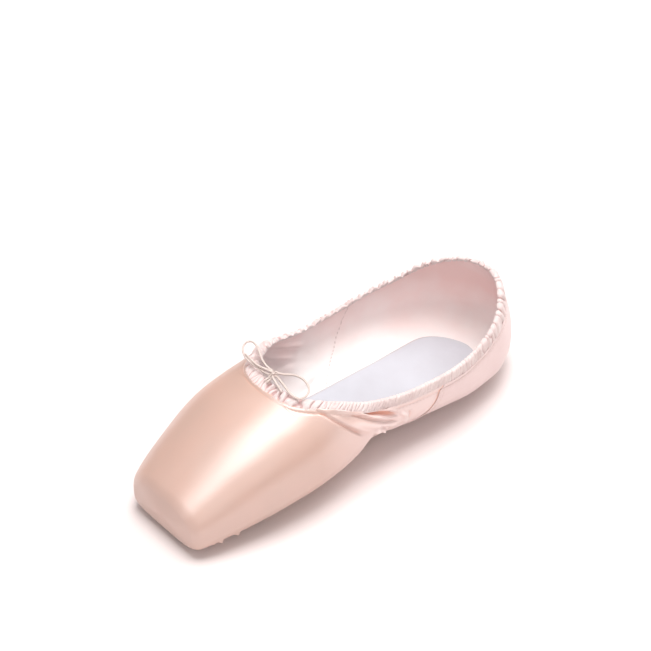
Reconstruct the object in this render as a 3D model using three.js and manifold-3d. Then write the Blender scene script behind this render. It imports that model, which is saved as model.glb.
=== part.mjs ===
// A pointe shoe: a satin ballet shoe with a stiff toe block, standing empty on its sole.
//
// Millimetres, +Z up. The toe points to -Y and the heel to +Y, the floor is z = 0, and x = 0 is the middle
// of the one straight last that serves for either foot. Places along the shoe are given as the distance
// back from the toe, and y is that distance less half the shoe's length.

import * as THREE from "three";
import { mergeVertices } from "three/addons/utils/BufferGeometryUtils.js";
import Module from "manifold-3d";

const wasm = await Module();
wasm.setup();

// ---------------------------------------------------------------- driving dimensions
const LENGTH = 235;
const WALL_TOE = 2.6; // satin, canvas and the pasted block
const WALL_BACK = 1.6; // satin and canvas
const BLOCK_ENDS = { from: 80, to: 120 }; // back from the toe, where the block's wings run out
const GAP = 0.3; // left between two pieces that touch

const TOE_ROUND = 4.2; // radius of the edge round the flat platform
const TOE_ROUND_UNDER = 0.7; // how much of that round shows under the toe
const HEEL_ROUND = 36; // length of the heel's round in plan
const HEEL_ROUND_POWER = 2.25;
const HEEL_UNDER = 9; // radius under the back of the heel
const HEEL_LEAN = { by: 10, from: 150, height: 60 }; // how far the back leans forward, and by what height

const SOLE_THICK = 3;
const INSOLE_THICK = 2.2;
const SOLE_OPENING_MARGIN = 6; // width of the upper's margin that is held under the insole
const BINDING_PROUD = 0.7; // how far the gathered casing stands out from the wall, on either side

const ROUND_POINTS = 40; // points round one section of the last
const TOE_RINGS = 4;
const BODY_RINGS = 18;
const HEEL_RINGS = 8;
const HEEL_LAST_RING = 84; // degrees round the heel, where the flat strip down its back starts

// The last, a row for each section. back: distance from the toe. wide: half the width. top and under: the
// heights of the closed last. belly: the height of the widest line. topFull and underFull: the fullness of
// the section above and below that line, where 2 is an ellipse and more is squarer.
const LAST = [
  { back: 0, wide: 26.5, top: 28, under: 2.9, belly: 12, topFull: 2.75, underFull: 3.8 },
  { back: 12, wide: 31.2, top: 36, under: 2.7, belly: 15, topFull: 2.6, underFull: 2.9 },
  { back: 30, wide: 36, top: 46.4, under: 2.6, belly: 20, topFull: 2.5, underFull: 2.7 },
  { back: 50, wide: 39.7, top: 54.8, under: 2.7, belly: 25, topFull: 2.45, underFull: 2.6 },
  { back: 70, wide: 41.2, top: 59.6, under: 2.9, belly: 27.5, topFull: 2.35, underFull: 2.5 },
  { back: 90, wide: 40, top: 65.3, under: 3.6, belly: 28, topFull: 2.3, underFull: 2.3 },
  { back: 115, wide: 37.2, top: 75.4, under: 5.3, belly: 30.5, topFull: 2.35, underFull: 2.05 },
  { back: 145, wide: 39.2, top: 84, under: 6.2, belly: 30.5, topFull: 2.4, underFull: 2.1 },
  { back: 175, wide: 39.6, top: 88, under: 4.4, belly: 27, topFull: 2.5, underFull: 2.3 },
  { back: 205, wide: 34.2, top: 90, under: 2.8, belly: 23, topFull: 2.45, underFull: 2.45 },
  { back: 235, wide: 27, top: 90, under: 2.8, belly: 21, topFull: 2.4, underFull: 2.4 },
];

// Two lines round the collar, seen from the side, from the front of the throat to behind the heel: the top
// edge of the gathered binding, and the foot of the binding, where the satin starts.
const COLLAR = [
  { back: 73, height: 60.8 },
  { back: 79, height: 59.6 },
  { back: 87, height: 58.3 },
  { back: 97, height: 55.6 },
  { back: 110, height: 50.2 },
  { back: 125, height: 46 },
  { back: 141, height: 44.2 },
  { back: 166, height: 43.9 },
  { back: 191, height: 46.7 },
  { back: 211, height: 52.3 },
  { back: 229, height: 58 },
  { back: 240, height: 59 },
];
const BINDING_FOOT = [
  { back: 66, height: 59.4 },
  { back: 70, height: 58 },
  { back: 75, height: 57 },
  { back: 81, height: 55.8 },
  { back: 88, height: 53.8 },
  { back: 97, height: 50.2 },
  { back: 110, height: 44.2 },
  { back: 125, height: 39.8 },
  { back: 141, height: 37.9 },
  { back: 166, height: 37 },
  { back: 191, height: 39.2 },
  { back: 211, height: 44.4 },
  { back: 229, height: 50.2 },
  { back: 240, height: 51.4 },
];
const LINE_STEPS = 34;
const OVER_ALL = 110; // a height above everything

// The outlines of the leather outsole and of the sock over the insole board, as half widths.
const SOLE_OUTLINE = [
  { back: 24, half: 19 },
  { back: 45, half: 22.5 },
  { back: 70, half: 23.5 },
  { back: 95, half: 20 },
  { back: 125, half: 15.5 },
  { back: 155, half: 15 },
  { back: 185, half: 18 },
  { back: 226, half: 18.5 },
];
const INSOLE_OUTLINE = [
  { back: 14, half: 24 },
  { back: 50, half: 28.5 },
  { back: 80, half: 27.5 },
  { back: 115, half: 22 },
  { back: 150, half: 21 },
  { back: 190, half: 22.5 },
  { back: 215, half: 21 },
];
const OUTLINE_STEPS = 26;
const OUTLINE_END_ROUND = 0.9; // length of an outline's round ends, as a share of its half width there

// ---------------------------------------------------------------- the drawstring's bow
const CORD_RADIUS = 0.6;
const CORD_SIDES = 8;
const CORD_STEP = 2;
const KNOT = { at: [-2.4, -40.8, 64], radii: [2.1, 1.7, 1.5], around: 10, over: 6 };

// The thin cord's route as points in space, starting and ending just clear of the knot and the binding. The
// two stems come out of the binding's edge, and each loop and end starts at the knot.
const BOW = {
  drawstring_stem_left: [
    [-3.3, -45.4, 61.8],
    [-3.3, -44.2, 62],
    [-3.2, -43.1, 62.6],
  ],
  drawstring_stem_right: [
    [-1.7, -45.4, 61.8],
    [-1.7, -44.2, 62],
    [-1.7, -43.1, 62.6],
  ],
  drawstring_loop_left: [
    [-4.9, -42.5, 62.8],
    [-9, -43.5, 63.2],
    [-13.7, -43.8, 63.3],
    [-20, -43.6, 63.1],
    [-25.3, -42, 62.9],
    [-29.1, -39.5, 62.7],
    [-31.8, -35.6, 62.5],
    [-31.1, -32.7, 62.6],
    [-28.1, -32.2, 62.7],
    [-23.7, -33.7, 62.9],
    [-16.9, -37.2, 63.3],
    [-11.2, -39.4, 63.6],
    [-7.4, -40, 63.8],
    [-5.1, -40.1, 63.8],
  ],
  drawstring_loop_right: [
    [-0.7, -38.8, 64],
    [1.3, -37, 63.7],
    [4.2, -33.4, 63.2],
    [8.2, -31.5, 62.7],
    [12.5, -31.6, 62.2],
    [16.3, -33.2, 61.8],
    [18.6, -36, 61.5],
    [19.4, -39.3, 61.4],
    [18.2, -42, 61.5],
    [14.2, -43.2, 62],
    [8.3, -42.3, 62.7],
    [3, -41.3, 63.3],
    [0.6, -41, 63.6],
  ],
  drawstring_end_left: [
    [-5.2, -41.6, 64.7],
    [-9, -43, 64.9],
    [-12.5, -43.5, 64.7],
    [-18.3, -42.9, 64.2],
    [-24, -41.9, 63.9],
  ],
  drawstring_end_right: [
    [-0.6, -43, 63.5],
    [1.2, -43.5, 63.3],
    [4.3, -44.3, 62.8],
    [7.9, -45.2, 62.3],
    [9.7, -45.7, 62.1],
  ],
};

// ---------------------------------------------------------------- the last's surface
const smooth = (t) => t * t * (3 - 2 * t);
const share = (value, from, to) => Math.min(1, Math.max(0, (value - from) / (to - from)));

/** A column of a table at a place along it, as a cubic with the slopes of its neighbours. */
function read(table, column, back) {
  const end = table.length - 1;
  const at = Math.min(Math.max(back, table[0].back), table[end].back);
  let i = 0;
  while (i < end - 1 && table[i + 1].back < at) i++;
  const slope = (k) => {
    const before = table[Math.max(k - 1, 0)];
    const after = table[Math.min(k + 1, end)];
    return (after[column] - before[column]) / (after.back - before.back);
  };
  const run = table[i + 1].back - table[i].back;
  const t = (at - table[i].back) / run;
  const p = table[i][column];
  const q = table[i + 1][column];
  const rise = slope(i) * run * t * (1 - t) ** 2 - slope(i + 1) * run * t * t * (1 - t);
  return p * (1 - smooth(t)) + q * smooth(t) + rise;
}

/** How far a quarter round of that radius has drawn in, at a depth from its end. */
const quarterRound = (radius, depth) =>
  depth >= radius ? 0 : radius - Math.sqrt(Math.max(0, radius ** 2 - (radius - depth) ** 2));

/** A point of the last's surface. angle is 0 at its right side and a quarter turn on top. */
function lastPoint(back, angle) {
  const toe = quarterRound(TOE_ROUND, back);
  const turn = share(back, LENGTH - HEEL_ROUND, LENGTH);
  const heel = Math.max(0, 1 - turn ** HEEL_ROUND_POWER) ** (1 / HEEL_ROUND_POWER);
  const wide = (read(LAST, "wide", back) - toe) * heel;
  const belly = read(LAST, "belly", back);
  const top = read(LAST, "top", back) - toe;
  const heelUnder = quarterRound(HEEL_UNDER, LENGTH - back);
  const under = read(LAST, "under", back) + toe * TOE_ROUND_UNDER + heelUnder;
  const across = Math.cos(angle);
  const up = Math.sin(angle);
  const full = read(LAST, up > 0 ? "topFull" : "underFull", back);
  const reach = (Math.abs(across) ** full + Math.abs(up) ** full) ** (-1 / full);
  const z = belly + reach * up * (up > 0 ? top - belly : belly - under);
  const leaning = smooth(share(back, HEEL_LEAN.from, LENGTH)) * share(z, belly, HEEL_LEAN.height) ** 2;
  return new THREE.Vector3(wide * reach * across, back - LENGTH / 2 - HEEL_LEAN.by * leaning, z);
}

/** A point of the last's surface moved out along its normal. */
function grownPoint(back, angle, grow) {
  const stepBack = 0.05;
  const stepAngle = 0.002;
  const near = Math.min(Math.max(back, stepBack), LENGTH - 8 * stepBack);
  const along = lastPoint(near + stepBack, angle).sub(lastPoint(near - stepBack, angle));
  const round = lastPoint(near, angle + stepAngle).sub(lastPoint(near, angle - stepAngle));
  return lastPoint(back, angle).addScaledVector(along.cross(round).normalize(), grow);
}

const wall = (back) => {
  const thinned = smooth(share(back, BLOCK_ENDS.from, BLOCK_ENDS.to));
  return WALL_TOE + (WALL_BACK - WALL_TOE) * thinned;
};

/** The places of the last's rings: close together round the toe's edge and round the heel. */
function ringPlaces() {
  const places = [];
  for (let i = 0; i < TOE_RINGS; i++) {
    places.push(TOE_ROUND * (1 - Math.cos((i / TOE_RINGS) * (Math.PI / 2))));
  }
  const heelStart = LENGTH - HEEL_ROUND;
  for (let i = 0; i < BODY_RINGS; i++) {
    places.push(TOE_ROUND + (heelStart - TOE_ROUND) * (i / BODY_RINGS));
  }
  for (let i = 0; i <= HEEL_RINGS; i++) {
    const turn = THREE.MathUtils.degToRad((HEEL_LAST_RING * i) / HEEL_RINGS);
    places.push(heelStart + HEEL_ROUND * Math.sin(turn));
  }
  return places;
}

// ---------------------------------------------------------------- solids
/** A manifold solid from a closed three.js geometry. */
function solid(geometry) {
  const bare = geometry.clone();
  bare.deleteAttribute("normal");
  bare.deleteAttribute("uv");
  const merged = mergeVertices(bare, 1e-5);
  return new wasm.Manifold(
    new wasm.Mesh({
      numProp: 3,
      vertProperties: new Float32Array(merged.attributes.position.array),
      triVerts: new Uint32Array(merged.index.array),
    }),
  );
}

/** The whole closed last, grown by a distance that may change along it. Both ends are closed by rungs. */
function lastSolid(grow) {
  const places = ringPlaces();
  const positions = [];
  for (const back of places) {
    for (let j = 0; j < ROUND_POINTS; j++) {
      const point = grownPoint(back, (j / ROUND_POINTS) * 2 * Math.PI, grow(back));
      positions.push(point.x, point.y, point.z);
    }
  }
  const index = [];
  const at = (ring, j) => ring * ROUND_POINTS + ((j + ROUND_POINTS) % ROUND_POINTS);
  for (let ring = 0; ring < places.length - 1; ring++) {
    for (let j = 0; j < ROUND_POINTS; j++) {
      index.push(at(ring, j), at(ring + 1, j + 1), at(ring, j + 1));
      index.push(at(ring, j), at(ring + 1, j), at(ring + 1, j + 1));
    }
  }
  const lastRing = places.length - 1;
  const quarter = ROUND_POINTS / 4;
  for (let j = -quarter; j < quarter; j++) {
    const mirrored = ROUND_POINTS / 2 - j;
    for (const [ring, turned] of [
      [0, false],
      [lastRing, true],
    ]) {
      const rung = [at(ring, j), at(ring, j + 1), at(ring, mirrored - 1), at(ring, mirrored)];
      const faces = [];
      if (j < quarter - 1) faces.push([rung[0], rung[1], rung[2]]);
      if (j > -quarter) faces.push([rung[0], rung[2], rung[3]]);
      for (const face of faces) index.push(...(turned ? face.reverse() : face));
    }
  }
  const geometry = new THREE.BufferGeometry();
  geometry.setAttribute("position", new THREE.Float32BufferAttribute(positions, 3));
  geometry.setIndex(index);
  return solid(geometry);
}

/** A prism of an outline drawn in plan, between two heights. */
function planPrism(outline, low, high) {
  const shape = new THREE.Shape(outline.map(([x, y]) => new THREE.Vector2(x, y)));
  const geometry = new THREE.ExtrudeGeometry(shape, { depth: high - low, bevelEnabled: false });
  geometry.translate(0, 0, low);
  return solid(geometry);
}

/** A prism right across the shoe, of an outline drawn from the side as y and z. */
function sidePrism(outline) {
  const shape = new THREE.Shape(outline.map(([y, z]) => new THREE.Vector2(y, z)));
  const geometry = new THREE.ExtrudeGeometry(shape, { depth: LENGTH, bevelEnabled: false });
  geometry.translate(0, 0, -LENGTH / 2);
  geometry.rotateY(Math.PI / 2).rotateX(Math.PI / 2);
  return solid(geometry);
}

/** Everything above one of the collar's lines, or above a line drawn that far below and in front of it. */
function above(table, drop) {
  const first = table[0].back;
  const end = table[table.length - 1].back;
  const line = [];
  for (let i = 0; i <= LINE_STEPS; i++) {
    const back = first + (end - first) * (i / LINE_STEPS) ** 1.3;
    line.push(new THREE.Vector2(back - LENGTH / 2, read(table, "height", back)));
  }
  const outline = [[line[0].x - drop, OVER_ALL]];
  if (drop > 0) outline.push([line[0].x - drop, line[0].y]);
  line.forEach((point, i) => {
    const along = line[Math.min(i + 1, LINE_STEPS)].clone().sub(line[Math.max(i - 1, 0)]).normalize();
    outline.push([point.x + along.y * drop, point.y - along.x * drop]);
  });
  outline.push([line[LINE_STEPS].x + drop, OVER_ALL]);
  return sidePrism(outline);
}

/** A sole's outline in plan from its half widths, both ends rounded, drawn in by a margin all round. */
function soleOutline(table, margin) {
  const first = table[0].back;
  const end = table[table.length - 1].back;
  const right = [];
  for (let i = 0; i <= OUTLINE_STEPS; i++) {
    const back = (first + end) / 2 - ((end - first) / 2) * Math.cos((i / OUTLINE_STEPS) * Math.PI);
    const half = read(table, "half", back);
    const round = half * OUTLINE_END_ROUND;
    const toEnd = Math.min(back - first, end - back);
    const kept = Math.sqrt(Math.max(0, 1 - (1 - Math.min(1, toEnd / round)) ** 2));
    const shrink = 1 - margin / half;
    const middle = (first + end) / 2;
    const drawnIn = middle + (back - middle) * (1 - (2 * margin) / (end - first));
    right.push([half * kept * shrink, drawnIn - LENGTH / 2]);
  }
  const left = right.slice(1, -1).reverse();
  return right.concat(left.map(([x, y]) => [-x, y]));
}

/** The three.js mesh of a solid. */
function piece(name, body, material) {
  const { vertProperties, triVerts, numProp } = body.getMesh();
  const positions = [];
  for (let i = 0; i < vertProperties.length; i += numProp) {
    positions.push(vertProperties[i], vertProperties[i + 1], vertProperties[i + 2]);
  }
  const geometry = new THREE.BufferGeometry();
  geometry.setAttribute("position", new THREE.Float32BufferAttribute(positions, 3));
  geometry.setIndex(Array.from(triVerts));
  geometry.computeVertexNormals();
  const mesh = new THREE.Mesh(geometry, material);
  mesh.name = name;
  return mesh;
}

const shell = (outside, inside) => lastSolid(outside).subtract(lastSolid(inside));

// ---------------------------------------------------------------- the pieces
const satin = new THREE.MeshStandardMaterial({ color: 0xeecbbd, roughness: 0.38, metalness: 0 });
const ribbon = new THREE.MeshStandardMaterial({ color: 0xe9d2cc, roughness: 0.6, metalness: 0 });
const leather = new THREE.MeshStandardMaterial({ color: 0xd9b79a, roughness: 0.7, metalness: 0 });
const sock = new THREE.MeshStandardMaterial({ color: 0xe0dfe6, roughness: 0.85, metalness: 0 });
const cord = new THREE.MeshStandardMaterial({ color: 0xf7f0e8, roughness: 0.7, metalness: 0 });

/** The satin upper: one hollow shell, open at the collar and underneath where the sole closes it. */
function makeUpper() {
  const opening = planPrism(soleOutline(SOLE_OUTLINE, SOLE_OPENING_MARGIN), -SOLE_THICK, HEEL_UNDER);
  return shell(() => 0, (back) => -wall(back))
    .subtract(above(BINDING_FOOT, GAP))
    .subtract(opening);
}

/** The leather outsole: follows the last's underside, and is flat where it stands on the floor. */
function makeOutsole() {
  const outline = soleOutline(SOLE_OUTLINE, 0);
  return shell(() => GAP + SOLE_THICK, () => GAP).intersect(planPrism(outline, 0, HEEL_UNDER * 2));
}

/** The insole board and its sock, lying on the upper's margins. */
function makeInsole() {
  const inside = lastSolid((back) => -wall(back) - GAP);
  const above = inside.translate([0, 0, INSOLE_THICK]);
  const outline = soleOutline(INSOLE_OUTLINE, 0);
  return inside.subtract(above).intersect(planPrism(outline, 0, HEEL_UNDER * 3));
}

/** The gathered casing round the collar that the drawstring runs in. */
function makeBinding() {
  return shell(() => BINDING_PROUD, (back) => -wall(back) - BINDING_PROUD)
    .intersect(above(BINDING_FOOT, 0))
    .subtract(above(COLLAR, 0));
}

/** A stretch of the drawstring: a round cord along its route. */
function makeCord(points) {
  const route = new THREE.CatmullRomCurve3(points.map((point) => new THREE.Vector3(...point)));
  const section = new THREE.Shape();
  for (let i = 0; i < CORD_SIDES; i++) {
    const turn = (i / CORD_SIDES) * 2 * Math.PI;
    const corner = [CORD_RADIUS * Math.cos(turn), CORD_RADIUS * Math.sin(turn)];
    if (i === 0) section.moveTo(...corner);
    else section.lineTo(...corner);
  }
  section.closePath();
  const steps = Math.max(2, Math.round(route.getLength() / CORD_STEP));
  return solid(new THREE.ExtrudeGeometry(section, { extrudePath: route, steps, bevelEnabled: false }));
}

/** The knot in the middle of the bow, as its outer shape. */
function makeKnot() {
  const profile = [];
  for (let i = 0; i <= KNOT.over; i++) {
    const turn = (i / KNOT.over - 0.5) * Math.PI;
    const onAxis = i === 0 || i === KNOT.over;
    profile.push(new THREE.Vector2(onAxis ? 0 : Math.cos(turn), Math.sin(turn)));
  }
  const ball = new THREE.LatheGeometry(profile, KNOT.around);
  return solid(ball.scale(...KNOT.radii).translate(...KNOT.at));
}

const shoe = new THREE.Group();
shoe.add(piece("upper", makeUpper(), satin));
shoe.add(piece("outsole", makeOutsole(), leather));
shoe.add(piece("insole", makeInsole(), sock));
shoe.add(piece("binding", makeBinding(), ribbon));
shoe.add(piece("drawstring_knot", makeKnot(), cord));
for (const [name, points] of Object.entries(BOW)) shoe.add(piece(name, makeCord(points), cord));

export default shoe;
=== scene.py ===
# %% [markdown]
# # A satin pointe shoe
#
# This lesson dresses a plain model of a pointe shoe: a ballet shoe with a stiff toe box, a satin upper, a
# gathered drawstring round its collar and a thin leather sole. The solid model comes as a fixed frame. Each
# of its plain parts gets a finished piece here, worked out with numpy and placed in the same metres.

# %% Load the frame
import math

import bmesh
import bpy
import numpy as np
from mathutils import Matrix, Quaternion, Vector


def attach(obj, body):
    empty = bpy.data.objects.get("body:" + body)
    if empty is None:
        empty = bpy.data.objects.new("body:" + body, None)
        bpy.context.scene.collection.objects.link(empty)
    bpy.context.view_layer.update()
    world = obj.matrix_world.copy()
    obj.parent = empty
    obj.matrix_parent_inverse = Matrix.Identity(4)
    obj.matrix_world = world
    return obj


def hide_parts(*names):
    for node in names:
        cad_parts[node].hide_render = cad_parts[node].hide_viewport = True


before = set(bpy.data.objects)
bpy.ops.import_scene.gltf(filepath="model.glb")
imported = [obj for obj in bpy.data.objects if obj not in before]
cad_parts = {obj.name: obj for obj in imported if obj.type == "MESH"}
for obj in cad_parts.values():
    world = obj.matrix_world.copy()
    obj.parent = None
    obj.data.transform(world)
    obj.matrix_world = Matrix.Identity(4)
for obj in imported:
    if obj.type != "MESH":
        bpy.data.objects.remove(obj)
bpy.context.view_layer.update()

# %% [markdown]
# The last is the wooden foot that a shoe is made over, and here it is one surface with two parameters: the
# distance back from the toe, and the angle round a section. Every cloth piece is a patch of it, grown or
# shrunk a little. A sculpted mesh could give the same form, but a formula lets the seams, the binding and
# the folds all be placed on it in the shoe's own millimetres.

# %% Sizes and tables of the last
MM = 0.001
LENGTH = 235.0
WALL_TOE, WALL_BACK = 2.6, 1.6
BLOCK_ENDS = (80.0, 120.0)
TOE_ROUND, TOE_ROUND_UNDER = 4.2, 0.7
HEEL_ROUND, HEEL_ROUND_POWER, HEEL_UNDER = 36.0, 2.25, 9.0
LEAN_BY, LEAN_FROM, LEAN_HEIGHT = 10.0, 150.0, 60.0


def table(columns, rows):
    """Rows of numbers as one array for each named column."""
    return dict(zip(columns.split(), np.array(rows, float).T))


# A row for each section: its distance from the toe, half width, top, underside, height of the widest line,
# and the fullness above and below that line, where 2 is an ellipse and more is squarer.
LAST = table("back wide top under belly top_full under_full", [
    (0, 26.5, 28, 2.9, 12, 2.75, 3.8),
    (12, 31.2, 36, 2.7, 15, 2.6, 2.9),
    (30, 36, 46.4, 2.6, 20, 2.5, 2.7),
    (50, 39.7, 54.8, 2.7, 25, 2.45, 2.6),
    (70, 41.2, 59.6, 2.9, 27.5, 2.35, 2.5),
    (90, 40, 65.3, 3.6, 28, 2.3, 2.3),
    (115, 37.2, 75.4, 5.3, 30.5, 2.35, 2.05),
    (145, 39.2, 84, 6.2, 30.5, 2.4, 2.1),
    (175, 39.6, 88, 4.4, 27, 2.5, 2.3),
    (205, 34.2, 90, 2.8, 23, 2.45, 2.45),
    (235, 27, 90, 2.8, 21, 2.4, 2.4),
])
# The top edge of the binding and its foot, seen from the side.
COLLAR = table("back height", [
    (73, 60.8), (79, 59.6), (87, 58.3), (97, 55.6), (110, 50.2), (125, 46),
    (141, 44.2), (166, 43.9), (191, 46.7), (211, 52.3), (229, 58), (240, 59),
])
BINDING_FOOT = table("back height", [
    (66, 59.4), (70, 58), (75, 57), (81, 55.8), (88, 53.8), (97, 50.2), (110, 44.2),
    (125, 39.8), (141, 37.9), (166, 37), (191, 39.2), (211, 44.4), (229, 50.2), (240, 51.4),
])
SOLE_OUTLINE = table("back half", [
    (24, 19), (45, 22.5), (70, 23.5), (95, 20), (125, 15.5), (155, 15), (185, 18), (226, 18.5),
])
INSOLE_OUTLINE = table("back half", [
    (14, 24), (50, 28.5), (80, 27.5), (115, 22), (150, 21), (190, 22.5), (215, 21),
])


print("the last is", LENGTH, "mm long, drawn from", len(LAST["back"]), "sections")

# %% [markdown]
# A table gives a size at a few places only. Straight lines between them would show as ridges in the satin,
# so a cubic runs through the rows, and it leaves each one with the slope of its neighbours.

# %% Smooth numbers
def smooth(t):
    """A share from 0 to 1 that starts and ends gently."""
    t = np.clip(t, 0, 1)
    return t * t * (3 - 2 * t)


def column(rows, name, place, along="back"):
    """A table's column at a place: a cubic through the rows, sloped as the neighbours on both sides are."""
    x, y = rows[along], rows[name]
    place = np.clip(place, x[0], x[-1])
    i = np.clip(np.searchsorted(x, place) - 1, 0, len(x) - 2)
    before = np.maximum(np.arange(len(x)) - 1, 0)
    after = np.minimum(np.arange(len(x)) + 1, len(x) - 1)
    slope = (y[after] - y[before]) / (x[after] - x[before])
    run = x[i + 1] - x[i]
    t = (place - x[i]) / run
    rise = slope[i] * run * t * (1 - t) ** 2 - slope[i + 1] * run * t * t * (1 - t)
    return y[i] * (1 - smooth(t)) + y[i + 1] * smooth(t) + rise


def quarter_round(radius, depth):
    """How far a quarter circle of that radius has drawn in, at a depth from its end."""
    left = radius - np.minimum(depth, radius)
    return radius - np.sqrt(np.maximum(0, radius**2 - left**2))


# %% [markdown]
# A section of the last is a superellipse: an ellipse whose power can rise above 2, which fills its corners
# out, as the square box of the toe needs. Above and below its widest line it has its own height and power.
# The toe's edge is a small quarter round and the heel closes in a large one.

# %% The last's surface
def section(back):
    """One section's half width, widest height, reach up, reach down and the two fullnesses."""
    toe = quarter_round(TOE_ROUND, back)
    turn = np.clip((back - (LENGTH - HEEL_ROUND)) / HEEL_ROUND, 0, 1)
    heel = np.maximum(0, 1 - turn**HEEL_ROUND_POWER) ** (1 / HEEL_ROUND_POWER)
    belly = column(LAST, "belly", back)
    under = column(LAST, "under", back) + toe * TOE_ROUND_UNDER + quarter_round(HEEL_UNDER, LENGTH - back)
    wide = (column(LAST, "wide", back) - toe) * heel
    top = column(LAST, "top", back) - toe
    full_up, full_down = (column(LAST, name, back) for name in ("top_full", "under_full"))
    return wide, belly, top - belly, belly - under, full_up, full_down


def last_point(back, angle):
    """A point of the last: the section's superellipse, |x|^n + |z|^n = 1 scaled to its half width and
    reach, with the back of the heel leaning forward by the square of its height."""
    wide, belly, up, down, full_up, full_down = section(back)
    c, s = np.cos(angle), np.sin(angle)
    full = np.where(s > 0, full_up, full_down)
    reach = (np.abs(c) ** full + np.abs(s) ** full) ** (-1 / full)
    z = belly + reach * s * np.where(s > 0, up, down)
    high = np.clip((z - belly) / (LEAN_HEIGHT - belly), 0, 1) ** 2
    lean = LEAN_BY * smooth((back - LEAN_FROM) / (LENGTH - LEAN_FROM)) * high
    return np.stack(np.broadcast_arrays(wide * reach * c, back - LENGTH / 2 - lean, z), -1)


def normal(back, angle):
    """The last's outward normal, from short steps along and round it."""
    near = np.clip(back, 0.05, LENGTH - 0.4)
    along = last_point(near + 0.05, angle) - last_point(near - 0.05, angle)
    around = last_point(near, angle + 0.002) - last_point(near, angle - 0.002)
    n = np.cross(along, around)
    return n / np.linalg.norm(n, axis=-1, keepdims=True)


def surface(back, angle, grow=0.0):
    """The last grown outwards by a distance in millimetres."""
    return last_point(back, angle) + normal(back, angle) * np.asarray(grow)[..., None]


ball = last_point(np.array([70.0]), np.array([0.0]))[0]
print("half width at the ball", round(float(ball[0]), 1), "mm")

# %% [markdown]
# The collar is drawn from the side and the soles from below, but a patch of cloth needs angles round the
# last. The superellipse can be turned round to give the angle from a height or from a half width, so no
# search is needed.

# %% Places on the last
def angle_at_height(back, height):
    """The angle where a section reaches a height, from its superellipse, and a quarter turn above its top."""
    _, belly, up, down, full_up, full_down = section(back)
    above = height > belly
    full = np.where(above, full_up, full_down)
    z = np.clip(np.abs(height - belly) / np.where(above, up, down), 0, 1)
    return np.arctan2(z * np.where(above, 1, -1), (1 - z**full) ** (1 / full))


def angle_at_half(back, half):
    """The angle on the underside where a section is that half width from the middle."""
    wide, _, _, _, _, full = section(back)
    x = np.clip(half / np.maximum(wide, 1e-6), 0, 1)
    return -np.arctan2((1 - x**full) ** (1 / full), x)


def wall(back):
    """The upper's thickness: the pasted block in front, two layers of cloth behind."""
    share = (back - BLOCK_ENDS[0]) / (BLOCK_ENDS[1] - BLOCK_ENDS[0])
    return WALL_TOE + (WALL_BACK - WALL_TOE) * smooth(share)


END_LENGTH = 0.9  # length of a sole's rounded end, as a share of its half width


def outline_half(rows, back):
    """Half width of a sole whose two ends are half ellipses."""
    half = column(rows, "half", back)
    first, end = rows["back"][0], rows["back"][-1]
    to_end = np.clip(np.minimum(back - first, end - back) / (END_LENGTH * half), 0, 1)
    return half * np.sqrt(np.maximum(0, 1 - (1 - to_end) ** 2))


print("wall", wall(0.0), "mm at the toe and", wall(LENGTH), "mm at the heel")

# %% [markdown]
# Every piece ends up as one mesh in metres with a UV map in its own millimetres, so that a weave can follow
# the cloth. Blender's mesh tools could do this a face at a time, but whole arrays are quicker and repeat
# exactly.

# %% Grids and pieces
UV_SIZE = 100.0  # millimetres for one whole UV square
SEAM_WELD, END_WELD = 0.004, 0.01  # points closer than this are merged at a middle line or an end, in mm


def grid_faces(rows, cols, close_rows=False, close_cols=False, flip=False):
    """The quads of a grid of points, optionally joined end to end in either direction."""
    i = np.arange(rows if close_rows else rows - 1)[:, None]
    j = np.arange(cols if close_cols else cols - 1)[None, :]
    a = i * cols + j
    b = ((i + 1) % rows) * cols + j
    c = ((i + 1) % rows) * cols + (j + 1) % cols
    d = i * cols + (j + 1) % cols
    quads = np.stack(np.broadcast_arrays(a, b, c, d), -1).reshape(-1, 4)
    return quads[:, ::-1] if flip else quads


def make_piece(name, points, quads, uv=None, fields=None, weld=0.0):
    """A smooth-shaded object from points in millimetres. uv holds millimetres for each point, fields holds
    more values for each point by name, and weld merges points closer than that."""
    mesh = bpy.data.meshes.new(name)
    mesh.vertices.add(points.size // 3)
    mesh.vertices.foreach_set("co", (points * MM).astype(np.float32).ravel())
    mesh.loops.add(quads.size)
    mesh.loops.foreach_set("vertex_index", quads.astype(np.int32).ravel())
    mesh.polygons.add(len(quads))
    mesh.polygons.foreach_set("loop_start", np.arange(0, quads.size, quads.shape[1], dtype=np.int32))
    mesh.update(calc_edges=True)
    if uv is not None:
        layer = mesh.uv_layers.new(name="cloth")
        corners = uv.reshape(-1, 2)[quads.ravel()]
        layer.data.foreach_set("uv", (corners / UV_SIZE).astype(np.float32).ravel())
    for field, values in (fields or {}).items():
        attribute = mesh.attributes.new(field, "FLOAT", "POINT")
        attribute.data.foreach_set("value", values.astype(np.float32).ravel())
    if weld:
        work = bmesh.new()
        work.from_mesh(mesh)
        bmesh.ops.remove_doubles(work, verts=work.verts, dist=weld * MM)
        work.to_mesh(mesh)
        work.free()
    mesh.polygons.foreach_set("use_smooth", np.ones(len(mesh.polygons), bool))
    mesh.update()
    piece = bpy.data.objects.new(name, mesh)
    bpy.context.scene.collection.objects.link(piece)
    print(name, len(mesh.polygons), "faces")
    return piece


print("one UV square covers", UV_SIZE, "mm of cloth")

# %% [markdown]
# Cloth and leather have a thickness, so a sheet gets a second face behind it from a modifier. Each piece
# then gets its finish and the body it rides on, and the plain parts of the frame that it stands for are
# hidden.

# %% Thickness, bodies and sides
def thicken(piece, thickness):
    """Gives a sheet its thickness on the side away from its faces."""
    solid = piece.modifiers.new("thickness", "SOLIDIFY")
    solid.thickness = thickness * MM
    solid.offset = -1
    solid.use_even_offset = False
    return piece


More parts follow.
